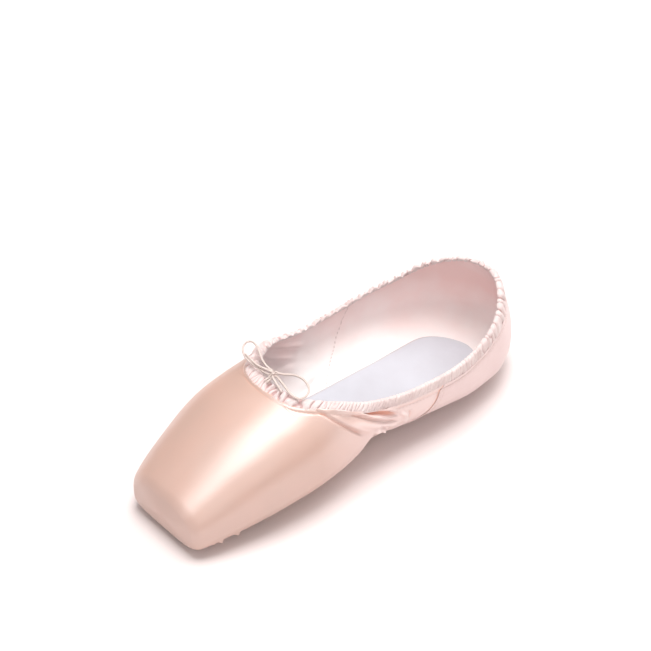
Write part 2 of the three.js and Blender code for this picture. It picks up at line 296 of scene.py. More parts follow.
def finish_piece(piece, material, slot, *nodes):
    """Gives a piece its material and body, and hides the plain parts that it stands for; slot is not used."""
    piece.data.materials.append(material)
    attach(piece, "root")
    if nodes:
        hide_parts(*nodes)
    return piece


def on_side(points, side):
    """Points worked out for the right side, on the side asked for: 1 is right and -1 is left."""
    return points * np.array([side, 1.0, 1.0])


WAVE_COUNT, WAVE_GAIN = 9, 1.6


def waves(points, size, seed):
    """Gentle unevenness from -1 to 1: the mean of a few sine waves across space, about that many mm long."""
    draw = np.random.default_rng(seed)
    heading = draw.normal(size=(WAVE_COUNT, 3))
    heading *= (2 * np.pi / size) / np.linalg.norm(heading, axis=1)[:, None]
    heading *= draw.uniform(0.6, 1.5, WAVE_COUNT)[:, None]
    starts = draw.uniform(0, 2 * np.pi, WAVE_COUNT)
    return np.sin(points @ heading.T + starts).mean(-1) * WAVE_GAIN


across_shoe = np.linspace((-40, 0, 20), (40, 0, 20), 200)
print("waves reach", round(float(np.abs(waves(across_shoe, 30, 4)).max()), 2), "across the shoe")


# %% [markdown]
# Procedural cloth needs a few nodes again and again, so a small helper adds a node, sets its sockets and
# links them in one call. Node groups would do this too, but functions are easier to read in a script.
# Numbers that are the same all over go straight on the shader's own sockets.

# %% Material helpers
def new_material(name):
    """A node material with its shader, ready for the sockets to be set."""
    material = bpy.data.materials.new(name)
    material.use_nodes = True
    return material, material.node_tree, material.node_tree.nodes["Principled BSDF"]


def set_sockets(tree, node, sockets):
    """Sets a node's sockets by name: each to a value, or to a link from another node's output."""
    for name, value in sockets.items():
        if isinstance(value, bpy.types.NodeSocket):
            tree.links.new(value, node.inputs[name])
        else:
            node.inputs[name].default_value = value


def add(tree, kind, sockets=None, **settings):
    """A new node with its settings and sockets."""
    made = tree.nodes.new(kind)
    for name, value in settings.items():
        setattr(made, name, value)
    set_sockets(tree, made, sockets or {})
    return made


def cloth_map(tree):
    """The piece's own UV map, which lies along its cloth."""
    return add(tree, "ShaderNodeUVMap", uv_map="cloth").outputs["UV"]


def object_place(tree):
    """The place in metres, for patterns that don't follow the cloth."""
    return add(tree, "ShaderNodeTexCoord").outputs["Object"]


def axis_of(tree, place, axis):
    """One of the three numbers of a place: X, Y or Z."""
    return add(tree, "ShaderNodeSeparateXYZ", {"Vector": place}).outputs[axis]


def field(tree, name):
    """A value that the mesh keeps for each point."""
    return add(tree, "ShaderNodeAttribute", attribute_name=name).outputs["Fac"]


def scaled(tree, source, scale):
    """Coordinates stretched by a scale for each axis."""
    return add(tree, "ShaderNodeMapping", {"Vector": source, "Scale": scale}).outputs["Vector"]


def noise(tree, vector, scale, detail=2.0, roughness=0.5):
    """Cloudy unevenness from 0 to 1, with that many clouds to a unit."""
    sockets = {"Vector": vector, "Scale": scale, "Detail": detail, "Roughness": roughness}
    return add(tree, "ShaderNodeTexNoise", sockets).outputs["Fac"]


def wave(tree, vector, scale, direction="X", distortion=0.0):
    """Even bands from 0 to 1, for ribs and weaves."""
    sockets = {"Vector": vector, "Scale": scale, "Distortion": distortion}
    return add(tree, "ShaderNodeTexWave", sockets, bands_direction=direction).outputs["Fac"]


def remap(tree, value, low, high, to_low, to_high):
    """A value carried from one range to another and held at its ends."""
    sockets = {0: value, 1: low, 2: high, 3: to_low, 4: to_high}
    return add(tree, "ShaderNodeMapRange", sockets).outputs[0]


def math_node(tree, operation, a, b):
    """One sum on two values."""
    return add(tree, "ShaderNodeMath", {0: a, 1: b}, operation=operation).outputs[0]


def blend_colours(tree, factor, first, second):
    """From the first colour to the second as the factor goes from 0 to 1."""
    colours = [c if isinstance(c, bpy.types.NodeSocket) else (*c, 1) for c in (first, second)]
    sockets = {"Factor": factor, 6: colours[0], 7: colours[1]}
    return add(tree, "ShaderNodeMix", sockets, data_type="RGBA").outputs[2]


def bump(tree, height, distance, strength=1.0, under=None):
    """Normals tilted by a height whose full step is that many mm, on top of another bump if one is given."""
    sockets = {"Height": height, "Distance": distance * MM, "Strength": strength}
    if under is not None:
        sockets["Normal"] = under
    return add(tree, "ShaderNodeBump", sockets).outputs["Normal"]


print("the helpers for materials are ready")


# %% [markdown]
# The camera looks down on the shoe from its right front corner. It stands well back with a long lens, so
# that the toe, which is nearest, isn't swollen.

# %% The camera
AZIMUTH, ELEVATION, ROLL = 48.76, 40.30, 0.37
DISTANCE = 1.250
AIM = Vector((4.8, -12.2, 85.1)) * MM
LENS = 135.3


def place_camera():
    """The eye is the aim point plus the distance along the azimuth and the elevation, turned by the roll."""
    turn, lift = math.radians(AZIMUTH), math.radians(ELEVATION)
    away = Vector((math.sin(turn) * math.cos(lift), -math.cos(turn) * math.cos(lift), math.sin(lift)))
    data = bpy.data.cameras.new("camera")
    data.lens, data.sensor_width = LENS, 36.0
    data.clip_end = 20.0
    camera = bpy.data.objects.new("camera", data)
    camera.rotation_mode = "QUATERNION"
    camera.rotation_quaternion = (-away).to_track_quat("-Z", "Y") @ Quaternion((0, 0, 1), math.radians(ROLL))
    camera.location = AIM + away * DISTANCE
    bpy.context.scene.collection.objects.link(camera)
    bpy.context.scene.camera = camera
    print("camera at", tuple(round(x, 3) for x in camera.location))


place_camera()

# %% [markdown]
# The drawstring is a thin round elastic in two strands that come out of the gathered binding at the front of
# the throat and are tied in a small bow. A simulated cord would slip out of its knot, so each strand follows
# a route of points: out of the binding, round its loop and through the knot to its cut end. A tube is carried
# along the route, and its UV map runs along the cord so that the braid can follow it.

# %% The drawstring's routes
CORD_RADIUS = 0.6
KNOT = (-2.4, -40.8, 64.0)
LEFT_LOOP = [
    (-4.9, -42.5, 62.8), (-9, -43.5, 63.2), (-13.7, -43.8, 63.3), (-20, -43.6, 63.1), (-25.3, -42, 62.9),
    (-29.1, -39.5, 62.7), (-31.8, -35.6, 62.5), (-31.1, -32.7, 62.6), (-28.1, -32.2, 62.7),
    (-23.7, -33.7, 62.9), (-16.9, -37.2, 63.3), (-11.2, -39.4, 63.6), (-7.4, -40, 63.8), (-5.1, -40.1, 63.8),
]
RIGHT_LOOP = [
    (-0.7, -38.8, 64), (1.3, -37, 63.7), (4.2, -33.4, 63.2), (8.2, -31.5, 62.7), (12.5, -31.6, 62.2),
    (16.3, -33.2, 61.8), (18.6, -36, 61.5), (19.4, -39.3, 61.4), (18.2, -42, 61.5), (14.2, -43.2, 62),
    (8.3, -42.3, 62.7), (3, -41.3, 63.3), (0.6, -41, 63.6),
]
LEFT_END = [
    (-5.2, -41.6, 64.7), (-9, -43, 64.9), (-12.5, -43.5, 64.7), (-18.3, -42.9, 64.2), (-24, -41.9, 63.9),
]
RIGHT_END = [
    (-0.6, -43, 63.5), (1.2, -43.5, 63.3), (4.3, -44.3, 62.8), (7.9, -45.2, 62.3), (9.7, -45.7, 62.1),
]
LEFT_STEM = [(-3.3, -46.4, 60.9), (-3.3, -45.4, 61.8), (-3.3, -44.2, 62), (-3.2, -43.1, 62.6)]
RIGHT_STEM = [(-1.7, -46.4, 60.9), (-1.7, -45.4, 61.8), (-1.7, -44.2, 62), (-1.7, -43.1, 62.6)]


LOW_THROUGH = [(KNOT[0], KNOT[1] - 1.1, KNOT[2] - 0.1)]
RIGHT_INTO = [(KNOT[0] + 0.7, KNOT[1] - 1.0, KNOT[2] - 0.7)]
# Each strand: its route from the binding to its cut end, and the plain parts that it stands for.
STRANDS = {
    "drawstring_left": (
        LEFT_STEM + LEFT_LOOP[::-1] + LOW_THROUGH + RIGHT_END,
        ("drawstring_stem_left", "drawstring_loop_left", "drawstring_end_right"),
    ),
    "drawstring_right": (
        RIGHT_STEM + RIGHT_INTO + RIGHT_LOOP[::-1] + [KNOT] + LEFT_END,
        ("drawstring_stem_right", "drawstring_loop_right", "drawstring_end_left"),
    ),
}
for strand_name, (route, _) in STRANDS.items():
    print(strand_name, "has a route of", len(route), "points")

# %% [markdown]
# A curve object with a round bevel could make the tube, but its UV map can't be measured in millimetres of
# cord. Here a ring of points is carried along the route instead, and each ring is turned as little as it
# can be from the last one, so that the braid doesn't twist.

# %% A tube along a route
def along_curve(points, spacing):
    """Points a set distance apart on the smooth curve through the given ones: a cubic between each pair,
    sloped towards their neighbours, then evened out by length."""
    p = np.array(points, float)
    ends = np.concatenate([[2 * p[0] - p[1]], p, [2 * p[-1] - p[-2]]])
    t = np.linspace(0, 1, 24, endpoint=False)[None, :, None]
    a, b, c, d = (ends[k:len(ends) - 3 + k, None] for k in range(4))
    fine = 0.5 * (2 * b + (c - a) * t + (2 * a - 5 * b + 4 * c - d) * t**2 + (3 * b - a - 3 * c + d) * t**3)
    fine = np.concatenate([fine.reshape(-1, 3), p[-1:]])
    lengths = np.concatenate([[0], np.cumsum(np.linalg.norm(np.diff(fine, axis=0), axis=1))])
    at = np.linspace(0, lengths[-1], max(8, int(round(lengths[-1] / spacing)) + 1))
    return np.stack([np.interp(at, lengths, fine[:, k]) for k in range(3)], -1), lengths[-1]


def tube(path, radius, sides, closed=False):
    """A round section carried along a path. Its frame is turned as little as possible from ring to ring, by
    taking off the part of the last ring's side that lies along the new direction. Ends are rounded off."""
    ahead = np.roll(path, -1, 0) - np.roll(path, 1, 0) if closed else np.gradient(path, axis=0)
    ahead /= np.linalg.norm(ahead, axis=1, keepdims=True)
    side = np.zeros_like(path)
    start = np.cross(ahead[0], (0.3, 0.2, 0.9))
    side[0] = start / np.linalg.norm(start)
    for i in range(1, len(path)):
        kept = side[i - 1] - ahead[i] * (side[i - 1] @ ahead[i])
        side[i] = kept / np.linalg.norm(kept)
    other = np.cross(ahead, side)
    turn = np.linspace(0, 2 * np.pi, sides, endpoint=False)
    radii = np.broadcast_to(np.asarray(radius, float), len(path))[:, None, None]
    ring = side[:, None] * np.cos(turn)[None, :, None] + other[:, None] * np.sin(turn)[None, :, None]
    points = path[:, None] + ring * radii
    run = np.concatenate([[0], np.cumsum(np.linalg.norm(np.diff(path, axis=0), axis=1))])
    uv = np.stack(np.broadcast_arrays(run[:, None], turn[None] * CORD_RADIUS), -1)
    return points, uv


CORD_SIDES, CORD_STEP, CORD_TIP = 12, 0.35, 0.5  # corners of the ring, and in mm its step and rounded tip
KNOT_RINGS, KNOT_SIZE = 120, (0.60, 0.50, 0.95)


def cord_piece(name, route):
    """A drawstring strand: a tube with its two ends drawn in to a point."""
    path, length = along_curve(route, CORD_STEP)
    to_end = np.minimum(np.arange(len(path)), np.arange(len(path))[::-1]) * CORD_STEP
    radius = CORD_RADIUS * np.sqrt(np.clip(1 - (1 - np.clip(to_end / CORD_TIP, 0, 1)) ** 2, 0, 1))
    points, uv = tube(path, radius, CORD_SIDES)
    quads = grid_faces(len(path), CORD_SIDES, close_cols=True)
    return make_piece(name, points, quads, uv, weld=END_WELD), path, length


def knot_piece():
    """The knot: a closed trefoil, x = sin t + 2 sin 2t, y = cos t - 2 cos 2t, z = -sin 3t, pulled small."""
    t = np.linspace(0, 2 * np.pi, KNOT_RINGS, endpoint=False)
    trefoil = np.stack([np.sin(t) + 2 * np.sin(2 * t), np.cos(t) - 2 * np.cos(2 * t), -np.sin(3 * t)], -1)
    points, uv = tube(trefoil * np.array(KNOT_SIZE) + KNOT, CORD_RADIUS, CORD_SIDES, closed=True)
    quads = grid_faces(KNOT_RINGS, CORD_SIDES, close_rows=True, close_cols=True)
    return make_piece("drawstring_bow_knot", points, quads, uv)


knot = knot_piece()

# %% [markdown]
# The cord is a cream elastic with a fine braided cover. Two sets of fine lines cross each other along its
# UV map, one leaning left and one right, which is how a braid's yarns lie. The gaps between them get
# painted shade.

# %% The cord's cover
# The darker cord colour is painted shade in the gaps between the braid's yarns.
CORD_CREAM, CORD_GAP_SHADE = (0.80, 0.69, 0.64), (0.42, 0.31, 0.275)
YARN_LEAN, YARN_SCALE = 1.6, 60


def cord_material():
    """The higher of two sets of leaning bands at each point, with painted shade in the gaps between them."""
    material, tree, shader = new_material("braided cord")
    uv = cloth_map(tree)
    left = wave(tree, scaled(tree, uv, (1, YARN_LEAN, 1)), YARN_SCALE, "DIAGONAL")
    right = wave(tree, scaled(tree, uv, (1, -YARN_LEAN, 1)), YARN_SCALE, "DIAGONAL")
    braid = math_node(tree, "MAXIMUM", left, right)
    set_sockets(tree, shader, {
        "Base Color": blend_colours(tree, remap(tree, braid, 0.3, 1, 0, 1), CORD_GAP_SHADE, CORD_CREAM),
        "Roughness": 0.62,
        "Sheen Weight": 0.2,
        "Normal": bump(tree, braid, 0.09),
    })
    return material


CORD = cord_material()
finish_piece(knot, CORD, "drawstring", "drawstring_knot")
print("the braid's yarns lean", round(math.degrees(math.atan(YARN_LEAN))), "degrees")

# %% [markdown]
# Each strand is limp, it lies loose in its bow, and its far end is bare. It rides on the same body as the
# knot, because the two hold each other.

# %% The two strands
for strand_name, (route, stands_for) in STRANDS.items():
    strand, path, cord_length = cord_piece(strand_name, route)
    finish_piece(strand, CORD, "drawstring", *stands_for)
    print(strand_name, round(float(cord_length), 1), "mm long")

# %% [markdown]
# Satin that has come loose from its stiff block doesn't stretch, so it stands in soft ridges with troughs
# between them. Cloth simulation makes folds of its own choosing, and here they start at the corner of the
# throat and run down to where the block's wing ends. So each fold is a line on the last with a height and a
# width, and pushes the surface out or in like a bell across the line.

# %% Fold lines
# Each fold: its height in mm, its width, and its route as pairs of distance back and height.
RIGHT_FOLDS = [
    (1.8, 0.8, [(78, 58.2), (86.5, 55.9), (93.5, 53.1), (99.9, 50.1), (103.7, 46.7), (108.8, 42.4),
                (117.9, 36.5), (124.5, 32.8), (130, 29.8)]),
    (0.9, 2.4, [(76, 58), (84, 56), (92, 53.4), (99, 50), (105, 45)]),
    (-2.5, 1.2, [(92, 53.6), (97, 51.8), (101, 49.6), (105.6, 46.4), (110, 43.5), (114.5, 40.9), (120, 37.5),
                 (125.1, 34.1), (129, 31.4)]),
    (1.0, 1.1, [(114, 44.2), (119.4, 41.4), (122.6, 39.2), (126.5, 36.6), (129, 34.6)]),
    (-1.3, 0.6, [(94, 51.2), (101, 45.8), (107, 41), (115.6, 34.8), (124, 30.4), (130, 27.6)]),
    (1.6, 1.9, [(92.5, 48.4), (98.6, 43.8), (111.1, 35.4), (121.5, 29), (131, 24.6)]),
    (-1.3, 0.8, [(78, 57.8), (80.1, 56.2), (83.3, 53.6), (86.9, 50), (91.4, 45.4), (98.6, 38), (104, 32)]),
    (0.9, 1.3, [(81.6, 55.8), (85.9, 52.6), (92.2, 47), (100.9, 39), (112.2, 30)]),
    (2.3, 1.3, [(128, 35.2), (131.4, 32), (132.2, 28.8), (130.5, 25.6)]),
    (-1.1, 1.0, [(134, 33), (135.6, 29), (135, 24.5)]),
    (2.4, 1.3, [(110, 32), (117, 27), (122, 21)]),
    (-0.9, 0.9, [(113, 34), (119.5, 28), (124.5, 23.5)]),
]
LEFT_FOLDS = [
    (1.5, 1.9, [(82, 55.4), (90, 52.4), (98, 47.8), (107, 41), (118, 35), (128, 29)]),
    (-1.8, 1.7, [(96, 51), (103, 47), (111, 42), (119, 38), (127, 33)]),
    (-1.1, 1.1, [(88, 51), (97, 44), (108, 36), (118, 29)]),
    (1.0, 1.7, [(96, 40), (108, 32.5), (120, 24)]),
]
# Where the soft satin falls in behind the end of the block.
RIGHT_HOLLOW = [(-2.8, 7.5, [(112, 30), (117, 20), (120, 12)])]
LEFT_HOLLOW = [(-1.8, 7.5, [(112, 30), (118, 20), (121, 12)])]


print(len(RIGHT_FOLDS), "folds on the right side and", len(LEFT_FOLDS), "on the left")

# %% [markdown]
# A fold's height falls away from its line like a bell, and it fades out towards both ends of the line, as
# pulled cloth does. All folds are added up before the satin is placed, so crossing folds blend.

# %% The height of a fold
FOLD_FADE = 0.22  # share of a fold's length over which it fades at each end


def distance_to_route(points, route):
    """How far each point is from a line of straight stretches, and how far along it, from 0 to 1."""
    a, b = route[:-1], route[1:]
    ab = b - a
    length = np.linalg.norm(ab, axis=1)
    near = np.full(points.shape[:-1], 1e9)
    along = np.zeros(points.shape[:-1])
    run = np.concatenate([[0], np.cumsum(length)])
    for k in range(len(a)):
        t = np.clip(((points - a[k]) @ ab[k]) / length[k] ** 2, 0, 1)
        gap = np.linalg.norm(points - (a[k] + t[..., None] * ab[k]), axis=-1)
        along = np.where(gap < near, (run[k] + t * length[k]) / run[-1], along)
        near = np.minimum(near, gap)
    return near, along


def fold_relief(points, folds):
    """The folds' height at each point: height x exp(-(distance / width)^2), dying away at a fold's ends."""
    relief = np.zeros(points.shape[:-1])
    for height, width, route in folds:
        back, level = np.array(route, float).T
        line = last_point(back, angle_at_height(back, level))
        dense, _ = along_curve(line, 3.0)
        gap, along = distance_to_route(points, dense)
        fade = smooth(along / FOLD_FADE) * smooth((1 - along) / FOLD_FADE)
        relief += height * np.exp(-((gap / width) ** 2)) * fade
    return relief


dent = fold_relief(last_point(np.array([120.0]), np.array([0.0])), RIGHT_FOLDS)
print("the folds move the waist's widest line by", round(float(dent[0]), 2), "mm")


# %% [markdown]
# The upper has five cut pieces of cloth: the satin vamp over the box, two satin quarters that meet at the
# back of the heel, and a cotton lining inside. Each is a patch of the last between a front and a rear edge
# and between the sole's edge and the foot of the binding. The edges depend on each other, because a seam
# slants, so a few rounds of working out one from the other settle where every point lies.

# %% Edges of the cloth
SIDE_SEAM = table("angle back", [
    (-90, 123), (-75, 124), (-58, 128), (-36, 140), (-25, 146), (-8, 151), (4, 154.6), (9, 157.8),
    (20, 163), (90, 185),
])
TUCK = 0.8  # how far the satin reaches up inside the binding, in mm
UNDER_SOLE = 5.0  # how far the satin goes in under the outsole, in mm
BELOW_COLLAR = 1.3  # how far the lining ends below the collar's edge, in mm


def seam_back(angle):
    """Where the seam between vamp and quarter lies at an angle round the last."""
    return column(SIDE_SEAM, "back", np.degrees(angle), along="angle")


def bottom_angle(back):
    """The patch's lower edge: a little inside the outsole's outline, or the middle where there is none."""
    return angle_at_half(back, np.maximum(0, outline_half(SOLE_OUTLINE, back) - UNDER_SOLE))


def lining_top(back):
    """The lining's upper edge, a little below the collar's edge."""
    return angle_at_height(back, column(COLLAR, "height", back) - BELOW_COLLAR)


def foot_angle(back):
    """The patch's upper edge, just inside the foot of the binding."""
    return angle_at_height(back, column(BINDING_FOOT, "height", back) + TUCK)


print("the seam meets the sole", round(float(seam_back(-np.pi / 2))), "mm back from the toe")

# %% [markdown]
# A patch is laid out as rows and columns. Its rows are told how far back they lie, which depends on the
# angle where the seam slants, and its columns share out the angle between two edges, which depends on how
# far back a row is. Going round a few times is enough for both to agree.

# %% Patches of the last
GIRTH_RADIUS = 34.0  # mm of cloth round the shoe for one radian
ROUNDS = 8  # how often rows and edges are worked out from each other


def patch(place_rows, bottom, top, cols, crowd=1.0):
    """Backs and angles of a grid. place_rows gives each row's distance back at an angle. Columns crowd
    towards the top edge as 1 - (1 - t)^crowd does."""
    across = 1 - (1 - np.linspace(0, 1, cols)[None, :]) ** crowd
    angle = np.radians(-60 + 100 * across)
    for _ in range(ROUNDS):
        back = place_rows(angle)
        angle = bottom(back) + across * (top(back) - bottom(back))
    return back, angle


def cloth_uv(back, angle, side):
    """The cloth's own map in mm: across the shoe from the middle of its top, and along it from the toe."""
    return np.stack([side * (np.pi / 2 - angle) * GIRTH_RADIUS, np.broadcast_to(back, angle.shape)], -1)


def both_sides(build, inwards=False):
    """Points, quads, uv and fields of the right half, as build(1) gives it, and of the left, as build(-1)
    does. A half is a grid of points for the right side, its uv, and its fields by name."""
    right, left = build(1), build(-1)
    quads = grid_faces(*right[0].shape[:2], flip=inwards)
    quads = np.concatenate([quads, quads[:, ::-1] + right[0].size // 3])
    points = np.concatenate([right[0], on_side(left[0], -1)])
    fields = {name: np.concatenate([right[2][name], left[2][name]]) for name in right[2]}
    return points, quads, np.concatenate([right[1], left[1]]), fields


print("a turn of the cloth's map is", round(2 * np.pi * GIRTH_RADIUS), "mm round the shoe")

# %% [markdown]
# The binding is sewn on along a line, and a needle leaves marks there: the cut edge rolls up a little, the
# stitches pull a dip, and small puckers run down from it. All of them depend only on how far a point is from
# the binding's foot, so they follow it all round.

# %% The sewn edge
def line_half(rows, count):
    """Places along one of the collar's lines on the right, even in length from the throat to the heel."""
    backs = np.linspace(rows["back"][0], rows["back"][0] + 12, 4000)
    below = column(rows, "height", backs) < section(backs)[1] + section(backs)[2]
    start = backs[np.argmax(below)]
    t = np.linspace(0, 1, 3000)
    back = start + (LENGTH - start) * np.where(t < 0.5, 2 * t * t, 1 - 2 * (1 - t) ** 2)
    angle = angle_at_height(back, column(rows, "height", back))
    line = last_point(back, angle)
    length = np.concatenate([[0], np.cumsum(np.linalg.norm(np.diff(line, axis=0), axis=1))])
    even = np.linspace(0, length[-1], count)
    return np.interp(even, length, back), np.interp(even, length, angle), length[-1]


foot_back, foot_turn, foot_length = line_half(BINDING_FOOT, 160)
FOOT_LINE = last_point(foot_back, foot_turn)
print("the binding's foot is", round(2 * float(foot_length)), "mm round")


def edge_roll(points):
    """The cloth's turned edge along the binding's foot: a low ridge, then the dip of the stitching."""
    gap, _ = distance_to_route(points, FOOT_LINE)
    return 0.45 * np.exp(-(((gap - 0.3) / 0.7) ** 2)) - 0.25 * np.exp(-(((gap - 1.6) / 0.5) ** 2))


def puckers(points, size, seed):
    """Small puckers that the stitching draws into the cloth below it, dying away within some mm."""
    gap, _ = distance_to_route(points, FOOT_LINE)
    return size * waves(points * np.array([1, 1, 0.3]), 5, seed) * np.exp(-(((gap - 2.5) / 4) ** 2))


def sewn_dip(points):
    """1 in the dip of the stitching under the binding's foot, falling to 0 on both sides of it."""
    gap, _ = distance_to_route(points, FOOT_LINE)
    return np.exp(-(((gap - 1.5) / 0.45) ** 2))


# %% [markdown]
# Under the toe the spare satin is laid in pleats that fan out from the front of the outsole, each lapping
# over the next. A saw-tooth in the angle gives them, with a wobble so that no two are alike. On the right a
# few cut corners of satin stand out past the sole's edge, and each is a small bell on the surface.

# %% Pleats and cut corners
PLEATS, PLEAT_DEPTH = 19, 1.15
PLEAT_CENTRE_BACK, PLEAT_REACH, PLEAT_FADE, PLEAT_TOP = 56.0, 31, 19, 11
# Each cut corner: its height in mm, its width, and its place.
CUT_CORNERS = [
    (1.7, 1.1, (30.9, -104.2, 9.4)), (-0.7, 0.9, (31.5, -101.6, 9.8)), (0.5, 1.1, (29.8, -108, 9.2)),
    (1.5, 1.1, (32.2, -94.6, 9.8)), (-0.5, 1.0, (32.6, -92, 10)),
]


def pleat_relief(points):
    """Pleats under the toe: a saw-tooth in the angle about a centre under the ball, strongest at the
    outsole's edge and gone before the platform and up the sides."""
    x, z = np.abs(points[..., 0]), points[..., 2]
    ahead = PLEAT_CENTRE_BACK - (points[..., 1] + LENGTH / 2)
    angle = np.arctan2(points[..., 0], np.maximum(ahead, 1e-3))
    reach = np.hypot(x, np.maximum(ahead, 0))
    wobble = 0.35 * np.sin(3.1 * angle + 0.6) + 0.25 * np.sin(7.3 * angle)
    tooth = np.mod(angle / np.pi * PLEATS + wobble, 1)
    profile = smooth(tooth / 0.82) * (1 - smooth((tooth - 0.88) / 0.12))
    fade = 1 - smooth((reach - PLEAT_REACH) / PLEAT_FADE)
    low = smooth((PLEAT_TOP - z) / 5) * (ahead > 0)
    return PLEAT_DEPTH * profile * fade * low


def cut_corner_relief(points):
    """The cut corners' height at each point: the sum of height x exp(-(distance / width)^2)."""
    far = [np.linalg.norm(points - np.array(place), axis=-1) for _, _, place in CUT_CORNERS]
    bells = zip(far, CUT_CORNERS)
    return sum(height * np.exp(-((gap / width) ** 2)) for gap, (height, width, _) in bells)


print(2 * PLEATS, "pleats in a full turn, and", len(CUT_CORNERS), "bumps for cut corners")

# %% [markdown]
# The vamp is the piece that shows most. It starts at the flat platform that the dancer stands on, which is
# closed by rings drawn in to its middle and domes out a little. Its rows lie close together at the toe's
# edge and where the satin folds, and wider where it is smooth, so that the triangles go where they show.

# %% The vamp
PLATFORM_DOME, PLATFORM_MIDDLE, PLATFORM_RINGS = 0.7, 14.5, 13
PLATFORM_CLOTH = 22  # mm of cloth from the platform's middle to its edge
VAMP_STRETCHES = [  # rows from here, to here and this far apart, in mm from the toe
    (TOE_ROUND + 1, 28, 0.8), (28, 66, 1.5), (66, 75, 0.6), (75, 136, 0.5), (136, 165.1, 1.6),
]
ROWS_SLANT_FROM, ROWS_END, UNDER_QUARTER = 106.0, 165.0, 3.0
VAMP_COLUMNS = 100


def vamp_rows():
    """The rows' distances from the toe: round the toe's edge by equal angles, then by the stretches."""
    toe = TOE_ROUND * (1 - np.cos(np.linspace(0, np.pi / 2, 11)))
    return np.concatenate([toe] + [np.arange(*stretch) for stretch in VAMP_STRETCHES])


def vamp_relief(back, angle, side):
    """How far the vamp's satin stands off the last, and the part of that which is its folds."""
    base = last_point(back, angle)
    folds = fold_relief(base, RIGHT_FOLDS if side > 0 else LEFT_FOLDS)
    hollow = fold_relief(base, RIGHT_HOLLOW if side > 0 else LEFT_HOLLOW)
    sink = -0.5 * smooth((back - seam_back(angle) + 0.8) / 1.2)
    unevenness = 0.22 * waves(on_side(base, side), 30, 4) * smooth(back / 12)
    corners = cut_corner_relief(base) if side > 0 else 0
    edges = pleat_relief(base) + sink + edge_roll(base) + corners
    return (folds + hollow + unevenness + edges) * smooth(back / 5), folds


def vamp_half(side):
    """One half of the vamp: platform rings, then rows that slant more and more towards the side seam and
    end a little under the quarter. Its fold field paints shade in troughs, at the seam and in the dip of the
    stitching, and a highlight on crests."""
    rows = vamp_rows()[:, None]

    def place(angle):
        """Each row's distance back at an angle: the last row lies a little behind the seam."""
        end = seam_back(angle) + UNDER_QUARTER
        return rows + (end - ROWS_END) * smooth((rows - ROWS_SLANT_FROM) / (ROWS_END - ROWS_SLANT_FROM))

    back, angle = patch(place, bottom_angle, foot_angle, VAMP_COLUMNS, crowd=1.3)
    relief, folds = vamp_relief(back, angle, side)
    # The fold field also dips at the seam and in the stitching's dip, where the satin gets painted shade.
    at_seam = np.exp(-(((back - seam_back(angle) + 0.5) / 0.7) ** 2))
    folds = folds - 1.9 * at_seam - 1.0 * sewn_dip(last_point(back, angle))
    body = surface(back, angle, relief)
    body[..., 0] = np.where(angle > np.pi / 2 - 1e-6, 0, body[..., 0])
    middle = np.array([0, body[0, 0, 1] - PLATFORM_DOME, PLATFORM_MIDDLE])
    shares = np.linspace(0, 1, PLATFORM_RINGS, endpoint=False)[:, None, None]
    cap = middle + (body[:1] - middle) * shares
    cap[..., 1] = body[0, 0, 1] - PLATFORM_DOME * (1 - shares[..., 0] ** 2)
    cap_angle = np.broadcast_to(angle[:1], cap.shape[:2])
    cap_back = np.broadcast_to(-PLATFORM_CLOTH * (1 - shares[..., 0]), cap.shape[:2])
    uv = cloth_uv(np.concatenate([cap_back, back]), np.concatenate([cap_angle, angle]), side)
    fold_field = np.concatenate([np.zeros(cap.shape[:2]), folds])
    return np.concatenate([cap, body]), uv, {"fold": fold_field}


vamp = thicken(make_piece("vamp", *both_sides(vamp_half), weld=SEAM_WELD), 0.55)

# %% [markdown]
# Satin is woven with long threads floating over its face, so it has a soft broad sheen along the cloth and
# almost no visible weave. The shader is mostly rough, with a sheen and a highlight that stretches across
# the threads. Fine lines along the cloth, faint slubs and a little mottling from the paste underneath keep
# it from looking like plastic. In a trough, at a seam and in the dip of the stitching the colour is painted
# deeper, towards orange on the vamp: painted shade, warm because light there has bounced from satin to
# satin. A crest gets a painted highlight, almost white, and the satin that hangs loose behind the block is
# paler than the satin pasted over it.

# %% Satin
# The deep colours, orange on the vamp and brown-pink on the quarters, are painted shade in troughs, seams and
# the stitching's dip, and the mottling leans towards them too. The crest colour is a painted highlight.
PEACH, ORANGE, LOOSE = (0.52, 0.34, 0.275), (0.88, 0.42, 0.29), (0.80, 0.62, 0.59)
PINK, BROWN_PINK = (0.76, 0.57, 0.55), (0.48, 0.27, 0.24)
CREST_HIGHLIGHT = (0.96, 0.80, 0.77)


